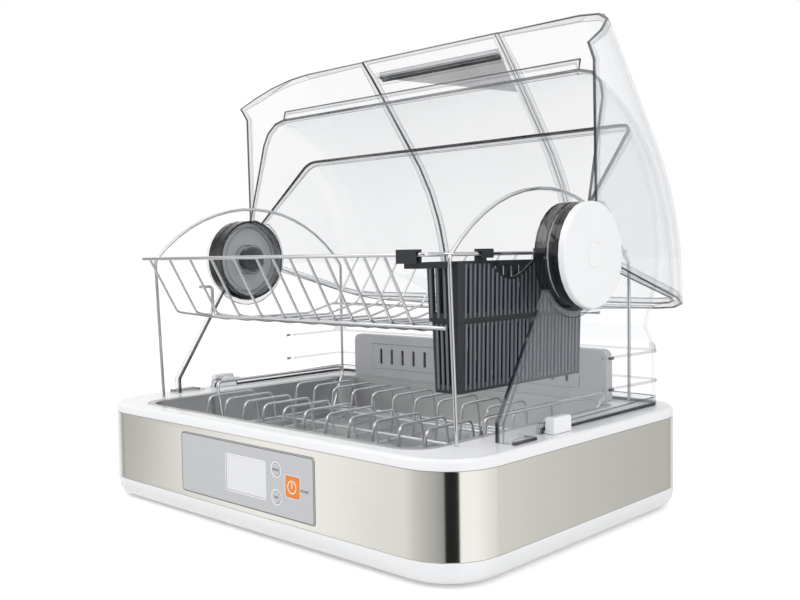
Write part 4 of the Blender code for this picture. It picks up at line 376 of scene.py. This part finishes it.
# %% Dress the base
dress("bottom_pan", "pan", white_abs, 0.5)
dress("top_rim", "rim", white_abs, 0.6)
dress("steel_band", "band", band_steel, 0.25)
dress("drip_tray", "tray", tray_steel, 0.3)
for side in ("left", "right"):
    dress("cover_clip_" + side, "clip_" + side, white_abs, 0.6)
    dress("hinge_cap_" + side, "cap_" + side, white_abs, 0.2)
    # The pins take the hubs' finish: clear plastic with painted dark shade.
    dress("hinge_pin_" + side, "pin_" + side, clear_hub_painted_shade, 0.4)
    dress("hinge_spacer_" + side, "spacer_" + side, grey_abs, 0.3)
dress("air_duct", "duct", grey_abs, 0.8)
dress("outlet_grille", "grille", grey_abs, 0.2)
print("base dressed")

# %% [markdown]
# ## Inner parts
# The fan, motor, heater, boards, gland, feet and screws sit inside or below. Their CAD shape
# is right and they hardly show, so the CAD parts stay and only get real finishes.

# %% Finish the inner parts
INNER = {"fan_wheel": black_pa, "fan_motor": zinc, "fan_bracket": zinc, "fan_scoop": grey_abs,
         "heater": aluminium, "control_board": board_green, "button_board": board_green,
         "intake_filter": foam, "cord_gland": black_pa}
for node in frame["nodes"]:
    if node.startswith("rubber_foot"):
        INNER[node] = rubber
    if node.startswith("pan_screw"):
        INNER[node] = zinc
for node, finish in INNER.items():
    mesh = frame["nodes"][node].data
    mesh.materials.clear()
    mesh.materials.append(finish)
print(len(INNER), "inner parts finished")

# %% [markdown]
# ## Hood shells
# Each shell is a thin wall bent round the hinge line. In the photograph its broad faces nearly
# vanish and its edges are dark lines, which are painted here as shade. Narrow faces are found by
# their width. One that lies between the wall's two sides is a cut edge and gets the darkest
# painted shade, and so does the round of a hub. Any other is a bead or a step, in a grey painted
# shade. Along every border the walls are inset three times, which paints a dark line, a denser
# band of painted shade and a fine inner dark line beside the edge.

# %% Dress the hood
EDGE_WIDTH = 3.2 * MM
WALL, EDGE, BAND, BEAD = range(4)
BEAD_FRONT, BEAD_LOW, BEAD_HIGH = 60, 105, 195
HINGE_Y, HINGE_Z, HUB_REACH = -12.6365, 246.5, 49
OPPOSITE, SIDEWAYS = -0.5, 0.5
SHELL_ANGLE = 32


def face_width(mesh, face):
    """Twice a face's area over the way round it, which is the width of a narrow strip."""
    corners = [mesh.vertices[index].co for index in face.vertices]
    around = sum((a - b).length for a, b in zip(corners, corners[1:] + corners[:1]))
    return 2 * face.area / around


def neighbours(mesh):
    """For each face, the faces that share an edge with it."""
    sharing = {}
    for face in mesh.polygons:
        for edge in face.edge_keys:
            sharing.setdefault(edge, []).append(face.index)
    return [[other for edge in face.edge_keys for other in sharing[edge] if other != face.index]
            for face in mesh.polygons]


def is_cut(mesh, others):
    """A cut edge lies between two faces that look opposite ways; a bead doesn't."""
    normals = [mesh.polygons[other].normal for other in others]
    return any(one.dot(two) < OPPOSITE for one in normals for two in normals)


def on_rear_bead(place):
    """Whether a place lies where the two beads run round the back of the rear cover."""
    return place.y > BEAD_FRONT * MM and BEAD_LOW * MM < place.z < BEAD_HIGH * MM


def rim_line(shell, width_mm, slot):
    """Inset the walls by this width all along their borders, and give the new strip a slot."""
    for face in shell.data.polygons:
        face.select = face.material_index in (WALL, BEAD)
    bpy.ops.object.mode_set(mode="EDIT")
    bpy.ops.mesh.inset(thickness=width_mm * MM, use_even_offset=False, use_select_inset=True)
    shell.active_material_index = slot
    bpy.ops.object.material_slot_assign()
    bpy.ops.object.mode_set(mode="OBJECT")


def on_hub(face):
    """Whether a face is on the round of a hub, which is painted dark as a ring of shade."""
    reach = (face.center.yz - Vector((HINGE_Y, HINGE_Z)) * MM).length
    return reach < HUB_REACH * MM and abs(face.normal.x) < SIDEWAYS


def dress_shell(node, name, line_widths):
    """A shell with cut edges painted dark, a denser band of painted shade along them and a fine
    painted dark line inside that.
    """
    shell = copy_of(node, name)
    bpy.ops.object.mode_set(mode="EDIT")
    bpy.ops.mesh.select_mode(type="FACE")
    bpy.ops.object.mode_set(mode="OBJECT")
    wear(shell, node, clear_wall, clear_edge_painted_dark, clear_band_painted_shade, clear_bead_painted_shade)
    beside = neighbours(shell.data)
    for face in shell.data.polygons:
        if on_hub(face):
            face.material_index = EDGE
        elif face_width(shell.data, face) < EDGE_WIDTH:
            cut = is_cut(shell.data, beside[face.index]) and not on_rear_bead(face.center)
            face.material_index = EDGE if cut else BEAD
    take(shell)
    for width_mm, slot in zip(line_widths, (EDGE, BAND, EDGE)):
        rim_line(shell, width_mm, slot)
    soften(shell, 0, SHELL_ANGLE)
    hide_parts(node)
    edges = sum(face.material_index > 0 for face in shell.data.polygons)
    print(name, len(shell.data.polygons), "faces,", edges, "of them edges")


dress_shell("rear_cover", "rear_shell", (2.6, 5.0, 0.6))
dress_shell("middle_cover", "middle_shell", (0.8, 4.5, 0.5))
dress_shell("front_lid", "lid_shell", (1.0, 5.5, 0.4))

# %% [markdown]
# ## Wire racks
# Both racks are bent from round wire and spot-welded where the wires cross. A curve with a
# round bevel is the quickest way to such a wire, and it stays truly round, where the CAD wire
# has five sides. The routes are those of the CAD racks: 3.5 mm wire for the frames and rails,
# 2.6 mm for the finer wires between them.

# %% Bend a wire
BASE_Y = -17.6365
FRAME_WIRE, FINE_WIRE = 1.75, 1.3
BEND_STEPS, WIRE_RESOLUTION = 6, 3


def bent(points, radius, closed):
    """The points of a route in mm, with each corner turned by a bend of that radius."""
    count = len(points)
    corners = range(count) if closed else range(1, count - 1)
    path = [] if closed else [points[0]]
    for place in corners:
        corner = points[place]
        before, after = points[place - 1] - corner, points[(place + 1) % count] - corner
        half = before.angle(after) / 2
        reach = min(radius * cos(half) / sin(half), 0.48 * min(before.length, after.length))
        start, end = corner + before.normalized() * reach, corner + after.normalized() * reach
        for step in range(BEND_STEPS + 1):
            share = step / BEND_STEPS
            path.append(start * (1 - share) ** 2 + 2 * corner * share * (1 - share)
                        + end * share ** 2)
    return path if closed else path + [points[-1]]


def wire(points, radius, bend, closed=False):
    """A round wire in mm along (x, y, z) points, y counted from the base's middle."""
    path = bent([Vector(point) for point in points], bend, closed)
    line = bpy.data.curves.new("wire", "CURVE")
    line.dimensions = "3D"
    line.bevel_depth = radius * MM
    line.bevel_resolution = WIRE_RESOLUTION
    line.use_fill_caps = True
    run = line.splines.new("POLY")
    run.use_cyclic_u = closed
    run.points.add(len(path) - 1)
    for spot, place in zip(run.points, path):
        spot.co = (place.x * MM, (place.y + BASE_Y) * MM, place.z * MM, 1)
    piece = bpy.data.objects.new("wire", line)
    bpy.context.scene.collection.objects.link(piece)
    take(piece)
    bpy.ops.object.convert(target="MESH")
    return bpy.context.object


def join_all(name, pieces):
    """One object from many, under a name."""
    take(*pieces)
    bpy.ops.object.join()
    joined = bpy.context.object
    joined.name = name
    return joined


print("wires are", 2 * FRAME_WIRE, "and", 2 * FINE_WIRE, "mm thick")

# %% Bend the upper rack
LOOP_HALF, LOOP_FRONT, LOOP_REAR, LOOP_Z = 200, -156, 147, 249
CRADLE_FRONT, CRADLE_REAR, CRADLE_Z, CRADLE_LOW, CRADLE_FLAT = -124, 106, 192, 181, 60
RAIL_HALF, RAIL_Z, DROP = 192, 190.17, 1.83
DECK_TOP = 98.6
ARCH_RADIUS, ARCH_CENTRE, ARCH_TOP = 178, -3.5, 305
ARCH_ENDS, ARCH_STEPS, FRONT_LEG, REAR_LEG = (-135, 136), 16, -129, 136
RIGHT_FIRST, RIGHT_LAST, RIGHT_GAPS = -6, 157.1, 7
LEFT_FIRST, LEFT_PITCH, LEFT_WIRES = -184, 36, 5
RAIL_END, RISER = -120, 30
LOOP_TO_ARCH, TIE_OVERLAP = 7, 3.5

right_wires = [RIGHT_FIRST + (RIGHT_LAST - RIGHT_FIRST) * place / RIGHT_GAPS
          for place in range(RIGHT_GAPS + 1)]
left_wires = [LEFT_FIRST + LEFT_PITCH * place for place in range(LEFT_WIRES)]
wires = [wire([(-LOOP_HALF, LOOP_FRONT, LOOP_Z), (LOOP_HALF, LOOP_FRONT, LOOP_Z),
               (LOOP_HALF, LOOP_REAR, LOOP_Z), (-LOOP_HALF, LOOP_REAR, LOOP_Z)],
              FRAME_WIRE, 6, True)]
for x in right_wires + left_wires:
    wires.append(wire([(x, LOOP_FRONT, LOOP_Z), (x, CRADLE_FRONT, CRADLE_Z),
                       (x, -CRADLE_FLAT, CRADLE_LOW), (x, CRADLE_FLAT, CRADLE_LOW),
                       (x, CRADLE_REAR, CRADLE_Z), (x, LOOP_REAR, LOOP_Z)], FINE_WIRE, 9))
riser_top = RAIL_Z + RISER
riser_y = LOOP_FRONT + ((CRADLE_FRONT - LOOP_FRONT) * (LOOP_Z - riser_top)
                        / (LOOP_Z - CRADLE_Z))
wires.append(wire([(RAIL_HALF, CRADLE_FRONT, RAIL_Z), (RAIL_END, CRADLE_FRONT, RAIL_Z),
                   (RAIL_END, CRADLE_FRONT, riser_top), (RAIL_END, riser_y, riser_top),
                   (left_wires[2], riser_y, riser_top)], FRAME_WIRE, 5))
wires.append(wire([(-RAIL_HALF, 0, CRADLE_LOW - DROP), (right_wires[-1], 0, CRADLE_LOW - DROP)],
                  FRAME_WIRE, 1))
wires.append(wire([(-RAIL_HALF, CRADLE_REAR, RAIL_Z), (RAIL_HALF, CRADLE_REAR, RAIL_Z)],
                  FRAME_WIRE, 1))
for side in (-1, 1):
    x = side * (LOOP_HALF + LOOP_TO_ARCH)
    low = ARCH_TOP - ARCH_RADIUS
    spans = [end - ARCH_CENTRE for end in ARCH_ENDS]
    ends = [atan2(sqrt(ARCH_RADIUS ** 2 - span ** 2), span) for span in spans]
    turns = [ends[0] + (ends[1] - ends[0]) * step / ARCH_STEPS for step in range(ARCH_STEPS + 1)]
    arch = [(x, ARCH_CENTRE + ARCH_RADIUS * cos(turn), low + ARCH_RADIUS * sin(turn))
            for turn in turns]
    feet = [(x, FRONT_LEG, DECK_TOP), (x, REAR_LEG, DECK_TOP)]
    wires.append(wire(feet[:1] + arch + feet[1:], FRAME_WIRE, 12))
    reach = sqrt(ARCH_RADIUS ** 2 - (LOOP_Z - low) ** 2)
    for end in (-1, 1):
        y = ARCH_CENTRE + end * reach
        wires.append(wire([(side * (LOOP_HALF - TIE_OVERLAP), y, LOOP_Z),
                           (side * (LOOP_HALF + LOOP_TO_ARCH + TIE_OVERLAP), y, LOOP_Z)],
                          FINE_WIRE, 1))
rack = join_all("plate_rack", wires)
bpy.ops.object.shade_smooth_by_angle(angle=radians(50))
wear(rack, "upper_rack", chrome)
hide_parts("upper_rack")
print("upper rack:", len(wires), "wires,", len(rack.data.polygons), "faces")

# %% Bend the lower rack
GRID_HALF, GRID_FRONT, GRID_REAR, GRID_Z = 178, -138, 108, 62
FINGER_TOP, FINGER_HALF, FINGER_LEAN = 102, 36, 6
HANDLE_TOP, HANDLE_REACH, HANDLE_FRONT, HANDLE_BACK, HANDLE_FOOT = 110.5, 189, -72, 122, 92.25
FINGER_ROWS, FINGERS, FINGER_PITCH = (-76, 46), 11, 31
FOOT_X, FOOT_BOTTOM, FOOT_RADIUS = 120, 56.3, 3
wires = [wire([(-GRID_HALF, GRID_FRONT, GRID_Z), (GRID_HALF, GRID_FRONT, GRID_Z),
               (GRID_HALF, GRID_REAR, GRID_Z), (-GRID_HALF, GRID_REAR, GRID_Z)],
              FRAME_WIRE, 14, True)]
for row in FINGER_ROWS:
    for place in range(FINGERS):
        x = (place - FINGERS // 2) * FINGER_PITCH
        wires.append(wire([(x, row - FINGER_HALF, GRID_Z),
                           (x, row - FINGER_HALF + FINGER_LEAN, FINGER_TOP),
                           (x, row + FINGER_HALF - FINGER_LEAN, FINGER_TOP),
                           (x, row + FINGER_HALF, GRID_Z)], FINE_WIRE, 8))
    for end in (-1, 1):
        y = row + end * FINGER_HALF
        wires.append(wire([(-GRID_HALF, y, GRID_Z), (GRID_HALF, y, GRID_Z)], FRAME_WIRE, 1))
for side in (-1, 1):
    wires.append(wire([(side * GRID_HALF, HANDLE_FRONT, GRID_Z),
                       (side * HANDLE_REACH, HANDLE_FRONT, HANDLE_TOP),
                       (side * HANDLE_REACH, HANDLE_BACK, HANDLE_TOP),
                       (side * GRID_HALF, HANDLE_FOOT, GRID_Z)], FRAME_WIRE, 7))
    for y in (GRID_FRONT, GRID_REAR):
        wires.append(wire([(side * FOOT_X, y, FOOT_BOTTOM), (side * FOOT_X, y, GRID_Z)],
                          FOOT_RADIUS, 1))
grid = join_all("bowl_rack", wires)
bpy.ops.object.shade_smooth_by_angle(angle=radians(50))
wear(grid, "lower_rack", chrome)
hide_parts("lower_rack")
print("lower rack:", len(wires), "wires,", len(grid.data.polygons), "faces")

# %% [markdown]
# ## Control panel
# A silver plate with a thin dark line round its edge, a pale lens, two round keys with a
# white ring, and the orange power key. Outlines are flat frames: a plane whose corners are
# bevelled, inset once, its middle deleted and the rest given a print's thickness.

# %% Dress the panel and its keys
dress("control_panel", "panel", panel_film, 0.3)
dress("display_window", "display", lens_film, 0.2)
dress("mode_button", "mode_key_cap", key_cap, 0.35)
dress("time_button", "time_key_cap", key_cap, 0.35)
dress("power_button", "power_key_cap", orange_cap, 0.5)
PRINT_PROUD, PRINT_DEPTH = 0.06 * MM, 0.05 * MM
PANEL_MARGIN, LENS_MARGIN = 1, 2.2
KEY_RING, POWER_RING, POWER_FRAME = 14, 11.5, 20
KEY_LETTERS, POWER_LETTERS = 2.9, 3.0
BAR_RAISE, POWER_WORD_PLACE = 1.4 * MM, Vector((15.5 * MM, 0, -1.5 * MM))


def face_of(node):
    """The middle of a CAD node's front, and its width and height."""
    low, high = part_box(node)
    return Vector(((low.x + high.x) / 2, low.y, (low.z + high.z) / 2)), high - low


def outline_print(name, centre, width, height, corner, line):
    """A flat printed frame round a rectangle with round corners, all in mm but the centre."""
    bpy.ops.object.select_all(action="DESELECT")
    bpy.ops.mesh.primitive_plane_add(size=1, location=centre, rotation=(radians(90), 0, 0))
    piece = bpy.context.object
    piece.name = name
    piece.scale = (width * MM, height * MM, 1)
    bpy.ops.object.transform_apply(location=True, rotation=True, scale=True)
    bpy.ops.object.mode_set(mode="EDIT")
    bpy.ops.mesh.select_all(action="SELECT")
    bpy.ops.mesh.bevel(offset=corner * MM, segments=8, affect="VERTICES")
    bpy.ops.mesh.inset(thickness=line * MM, use_even_offset=True)
    bpy.ops.mesh.delete(type="FACE")
    bpy.ops.object.mode_set(mode="OBJECT")
    ink = piece.modifiers.new("ink", "SOLIDIFY")
    ink.thickness = PRINT_DEPTH
    bpy.ops.object.modifier_apply(modifier="ink")
    return piece


def lay_print(piece, node, finish):
    """A print rides with the part that it is on."""
    piece.data.materials.clear()
    piece.data.materials.append(finish)
    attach(piece, body_of(node))
    return piece


def words(name, text, centre, size):
    """Printed words, upright on a face that looks to the front."""
    bpy.ops.object.select_all(action="DESELECT")
    bpy.ops.object.text_add(location=centre, rotation=(radians(90), 0, 0))
    piece = bpy.context.object
    piece.data.body = text
    piece.data.size = size * MM
    piece.data.align_x, piece.data.align_y = "CENTER", "CENTER"
    piece.data.extrude = PRINT_DEPTH / 2
    bpy.ops.object.convert(target="MESH")
    piece = bpy.context.object
    piece.name = name
    bpy.ops.object.transform_apply(location=True, rotation=True, scale=True)
    return piece


lift = Vector((0, -PRINT_PROUD, 0))
centre, size = face_of("control_panel")
lay_print(outline_print("panel_line", centre + lift, size.x / MM - PANEL_MARGIN,
                        size.z / MM - PANEL_MARGIN, 3, 0.55), "control_panel", dark_ink)
spot, size = face_of("display_window")
spot.y = centre.y
lay_print(outline_print("display_line", spot + lift, size.x / MM + LENS_MARGIN,
                        size.z / MM + LENS_MARGIN, 1.6, 1.0), "control_panel", white_ink)
for key, text in (("mode", "MODE"), ("time", "TIME")):
    spot, size = face_of(key + "_button")
    lay_print(words(key + "_word", text, spot + lift, KEY_LETTERS), key + "_button", dark_ink)
    spot.y = centre.y
    lay_print(outline_print(key + "_ring", spot + lift, KEY_RING, KEY_RING, 6.99, 1.1),
              "control_panel", white_ink)
spot, size = face_of("power_button")
lay_print(outline_print("power_ring", spot + lift, POWER_RING, POWER_RING, 5.74, 0.9),
          "power_button", white_ink)
lay_print(outline_print("power_bar", spot + lift + Vector((0, 0, BAR_RAISE)), 1.3, 5, 0.6, 0.6),
          "power_button", white_ink)
spot.y = centre.y
lay_print(outline_print("power_line", spot + lift, POWER_FRAME, POWER_FRAME, 3, 0.7),
          "control_panel", white_ink)
lay_print(words("power_word", "POWER", spot + lift + POWER_WORD_PLACE, POWER_LETTERS),
          "control_panel", dark_ink)
print("panel dressed and printed")

# %% [markdown]
# ## Cutlery basket
# The basket hangs inside the upper rack by hooks over its side wire. Its walls are slats
# between rails, in two tiers.

# %% Dress the basket
dress("cutlery_basket", "basket", dark_pp, 0.3)
print("basket dressed")

# %% [markdown]
# ## Ribs of the basket
# Fine upright ribs stand on the slats, two to a slat, which make the dark walls look combed.
# Their finish is the basket's dark plastic painted lighter, a painted highlight where they catch
# the light.
# One rib is a long block whose outer edges are bevelled round. It is leaned to the wall's
# draft and copied along each wall, first in the upper tier, then in the lower one. Under a
# dip of the right wall's top edge the ribs are shorter.

# %% Comb the basket's walls
BASKET_LEFT, BASKET_RIGHT, BASKET_FRONT, BASKET_BACK = 159.6, 196.6, -112, 78
BASKET_TOP, BASKET_BAND = 243, 194
DRAFT_SHARE, TIER_STEP, RIB_PROUD, RIB_WIDTH = 3 / 108, 2, 0.7, 2.5
TIERS = ((137.6, 192.2), (196.8, 241.2))
DIPS, DIP_DEPTH = ((-73, -9), (9, 66)), 14
POST_WIDTH, RIB_MARGIN, TOP_MARGIN, RIB_ROUND = 6, 1, 2, 0.35
SLOTS, END_SLOTS = 15, 3


def wall_inset(height):
    """How far the wall has drawn in at a height, in mm."""
    return (BASKET_TOP - height) * DRAFT_SHARE + (TIER_STEP if height < BASKET_BAND else 0)


def dip_at(y):
    """How deep the right wall's top edge dips at a place, in mm."""
    for first, last in DIPS:
        if first < y < last:
            return DIP_DEPTH * sin(pi * (y - first) / (last - first))
    return 0


def rib(outward, place, low, high):
    """One rib in mm: the way its wall looks, its place on that wall, its foot and head."""
    middle = (low + high) / 2
    bpy.ops.object.select_all(action="DESELECT")
    bpy.ops.mesh.primitive_cube_add(size=1)
    piece = bpy.context.object
    piece.scale = (2 * RIB_PROUD * MM, RIB_WIDTH * MM, (high - low) * MM)
    bpy.ops.object.transform_apply(scale=True)
    bpy.ops.object.mode_set(mode="EDIT")
    bpy.ops.mesh.select_all(action="SELECT")
    bpy.ops.mesh.bevel(offset=RIB_ROUND * MM, segments=1, affect="EDGES")
    bpy.ops.object.mode_set(mode="OBJECT")
    piece.rotation_euler = (0, DRAFT_SHARE, atan2(outward.y, outward.x))
    piece.location = (Vector((place.x, place.y + BASE_Y, middle))
                      - outward * wall_inset(middle)) * MM
    bpy.ops.object.transform_apply(location=True, rotation=True, scale=True)
    return piece


ribs = []
for low, high in TIERS:
    length = BASKET_BACK - BASKET_FRONT - 2 * (POST_WIDTH + wall_inset(low))
    pitch = length / SLOTS
    middle_y = (BASKET_BACK + BASKET_FRONT) / 2
    for place in range(SLOTS + 1):
        for side in (-1, 1):
            y = middle_y - length / 2 + place * pitch + side * pitch / 4
            if abs(y - middle_y) > length / 2 - RIB_MARGIN:
                continue
            top = min(high, BASKET_TOP - TOP_MARGIN - dip_at(y))
            ribs.append(rib(Vector((1, 0, 0)), Vector((BASKET_RIGHT, y, 0)), low, top))
            ribs.append(rib(Vector((-1, 0, 0)), Vector((BASKET_LEFT, y, 0)), low, high))
    width = BASKET_RIGHT - BASKET_LEFT - 2 * (POST_WIDTH + wall_inset(low))
    middle_x = (BASKET_RIGHT + BASKET_LEFT) / 2
    for place in range(END_SLOTS + 1):
        x = middle_x - width / 2 + place * width / END_SLOTS
        ribs.append(rib(Vector((0, -1, 0)), Vector((x, BASKET_FRONT, 0)), low, high))
        ribs.append(rib(Vector((0, 1, 0)), Vector((x, BASKET_BACK, 0)), low, high))
combed = join_all("basket_ribs", ribs)
combed.data.materials.append(rib_pp_painted_highlight)
bpy.ops.object.shade_smooth_by_angle(angle=radians(40))
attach(combed, body_of("cutlery_basket"))
print(len(ribs), "ribs on the basket")

# %% [markdown]
# ## Floor and background
# The photograph has a pure white ground. So the pale floor glows a little, but only where the
# camera or a look through clear plastic meets it, and it keeps its soft shadow. It is left out
# of gloss, where the steel would show it as a hard line. The world is full white to the camera
# and to gloss, and a tenth dimmer as the light that falls on the dryer.

# %% Set the stage
FLOOR_SIZE, FLOOR_DROP, FLOOR_GLOW, DIFFUSE_LEVEL = 60, 0.4 * MM, 0.28, 0.9
floor_paint = finish_of("white_floor", "F2F2F2", 0.6)
floor_shader = floor_paint.node_tree.nodes["Principled BSDF"]
floor_rays = add_node(floor_paint, "ShaderNodeLightPath", {})
on_view = add_node(floor_paint, "ShaderNodeMath", {"operation": "ADD", "use_clamp": True},
                   {0: floor_rays.outputs["Is Camera Ray"],
                    1: floor_rays.outputs["Is Transmission Ray"]})
glow = add_node(floor_paint, "ShaderNodeMath", {"operation": "MULTIPLY"},
                {0: on_view.outputs["Value"]})
glow.inputs[1].default_value = FLOOR_GLOW
floor_shader.inputs["Emission Color"].default_value = linear("FFFFFF")
floor_paint.node_tree.links.new(glow.outputs["Value"], floor_shader.inputs["Emission Strength"])
bpy.ops.object.select_all(action="DESELECT")
bpy.ops.mesh.primitive_plane_add(size=FLOOR_SIZE, location=(0, 0, -FLOOR_DROP))
floor = bpy.context.object
floor.name = "floor"
floor.data.materials.append(floor_paint)
floor.visible_glossy = False

world = bpy.data.worlds.new("studio")
bpy.context.scene.world = world
world.use_nodes = True
back = world.node_tree.nodes["Background"]
rays = add_node(world, "ShaderNodeLightPath", {})
shown = add_node(world, "ShaderNodeMath", {"operation": "ADD", "use_clamp": True},
                 {0: rays.outputs["Is Camera Ray"], 1: rays.outputs["Is Transmission Ray"]})
seen = add_node(world, "ShaderNodeMath", {"operation": "ADD", "use_clamp": True},
                {0: shown.outputs["Value"], 1: rays.outputs["Is Glossy Ray"]})
level = add_node(world, "ShaderNodeMapRange", {"To Min": DIFFUSE_LEVEL, "To Max": 1.0},
                 {"Value": seen.outputs["Value"]})
world.node_tree.links.new(level.outputs["Result"], back.inputs["Strength"])
print("floor", FLOOR_SIZE, "m wide, glow", FLOOR_GLOW)

# %% [markdown]
# ## What the metal mirrors
# Polished steel has no look of its own: it shows the room. In an all white room it would
# vanish, so this room has soft grey passages. Its brightness is a ramp over the compass
# direction, and it fades to white overhead and below. Studios also stand dark cards beside
# the set. One black card near the front right corner puts the dark stripe on that corner.
# Only gloss sees room and card, so they neither light nor shade the dryer.

# %% Paint the room that gloss sees
COMPASS = ((0.0, 0.85), (0.056, 0.36), (0.08, 0.46), (0.09, 0.78), (0.103, 0.97),
           (0.114, 0.97), (0.129, 0.8), (0.194, 0.62), (0.306, 0.42), (0.35, 0.3),
           (0.39, 0.55), (0.425, 1.0), (0.5, 1.0), (0.633, 0.78),
           (0.653, 0.62), (0.675, 0.5), (0.72, 0.45), (0.75, 0.8), (0.92, 0.95))
WARMTH, FADE_FROM, FADE_TO = 0.985, 0.5, 0.85
CARD_PLACE, CARD_TURN, CARD_SIZE = (0.532, -0.453, -0.05), radians(48), (0.2, 0.6, 1)
direction = add_node(world, "ShaderNodeTexCoord", {})
apart = add_node(world, "ShaderNodeSeparateXYZ", {}, {"Vector": direction.outputs["Generated"]})
bearing = add_node(world, "ShaderNodeMath", {"operation": "ARCTAN2"},
                   {0: apart.outputs["Y"], 1: apart.outputs["X"]})
compass = add_node(world, "ShaderNodeMapRange", {"From Min": -pi, "From Max": pi},
                   {"Value": bearing.outputs["Value"]})
room = add_node(world, "ShaderNodeValToRGB", {}, {"Fac": compass.outputs["Result"]})
stops = room.color_ramp.elements
stops[0].position, stops[1].position = COMPASS[0][0], COMPASS[-1][0]
for place, bright in COMPASS[1:-1]:
    stops.new(place)
for stop, (place, bright) in zip(stops, COMPASS):
    stop.color = (bright, bright, bright * WARMTH, 1)
steep = add_node(world, "ShaderNodeMath", {"operation": "ABSOLUTE"}, {0: apart.outputs["Z"]})
away = add_node(world, "ShaderNodeMapRange", {"From Min": FADE_FROM, "From Max": FADE_TO},
                {"Value": steep.outputs["Value"]})
plain = add_node(world, "ShaderNodeMath", {"operation": "MAXIMUM"},
                 {0: away.outputs["Result"], 1: shown.outputs["Value"]})
dull = add_node(world, "ShaderNodeMath", {"operation": "SUBTRACT"},
                {1: rays.outputs["Is Glossy Ray"]})
dull.inputs[0].default_value = 1.0
whole = add_node(world, "ShaderNodeMath", {"operation": "MAXIMUM"},
                 {0: plain.outputs["Value"], 1: dull.outputs["Value"]})
sky = add_node(world, "ShaderNodeMix", {"data_type": "RGBA"},
               {"Factor": whole.outputs["Value"]})
sky.inputs[MIX_SECOND].default_value = linear("FFFFFF")
world.node_tree.links.new(room.outputs["Color"], sky.inputs[MIX_FIRST])
world.node_tree.links.new(sky.outputs[MIX_COLOUR], back.inputs["Color"])
card_paint = finish_of("black_card", "0C0D0E", 0.95)
mottle(card_paint, 50, ("0A0B0C", "101112"), (0.9, 1.0))
bpy.ops.object.select_all(action="DESELECT")
bpy.ops.mesh.primitive_plane_add(size=1, location=CARD_PLACE,
                                 rotation=(radians(90), 0, CARD_TURN))
card = bpy.context.object
card.name = "black_card"
card.scale = CARD_SIZE
card.data.materials.append(card_paint)
for kind in ("camera", "diffuse", "shadow", "transmission"):
    setattr(card, "visible_" + kind, False)
print(len(stops), "stops round the room and one card")

# %% [markdown]
# ## Lamps
# Two large soft lamps give the plain, even light of a catalogue picture: a key lamp from the
# left front and a weaker fill lamp from the right, which lifts the right side.

# %% Hang the lamps
LAMP_AIM = (0, 0, 0.15)
# Light through the nested shells meets many clear faces, more than the default of 8.
CLEAR_LAYERS = 32


def lamp(name, place, target, size, power):
    """A soft square lamp that looks at a point."""
    light = bpy.data.lights.new(name, "AREA")
    light.shape = "SQUARE"
    light.size = size
    light.energy = power
    piece = bpy.data.objects.new(name, light)
    bpy.context.scene.collection.objects.link(piece)
    aim = Vector(target) - Vector(place)
    piece.matrix_world = (Matrix.Translation(place)
                          @ aim.to_track_quat("-Z", "Y").to_matrix().to_4x4())
    return piece


lamp("key", (-1.4, -1.8, 2.2), LAMP_AIM, 1.6, 14)
lamp("fill", (2.2, -0.6, 1.6), LAMP_AIM, 1.8, 9)
bpy.context.scene.view_settings.view_transform = "Standard"
bpy.context.scene.cycles.transparent_max_bounces = CLEAR_LAYERS
print("stage set")
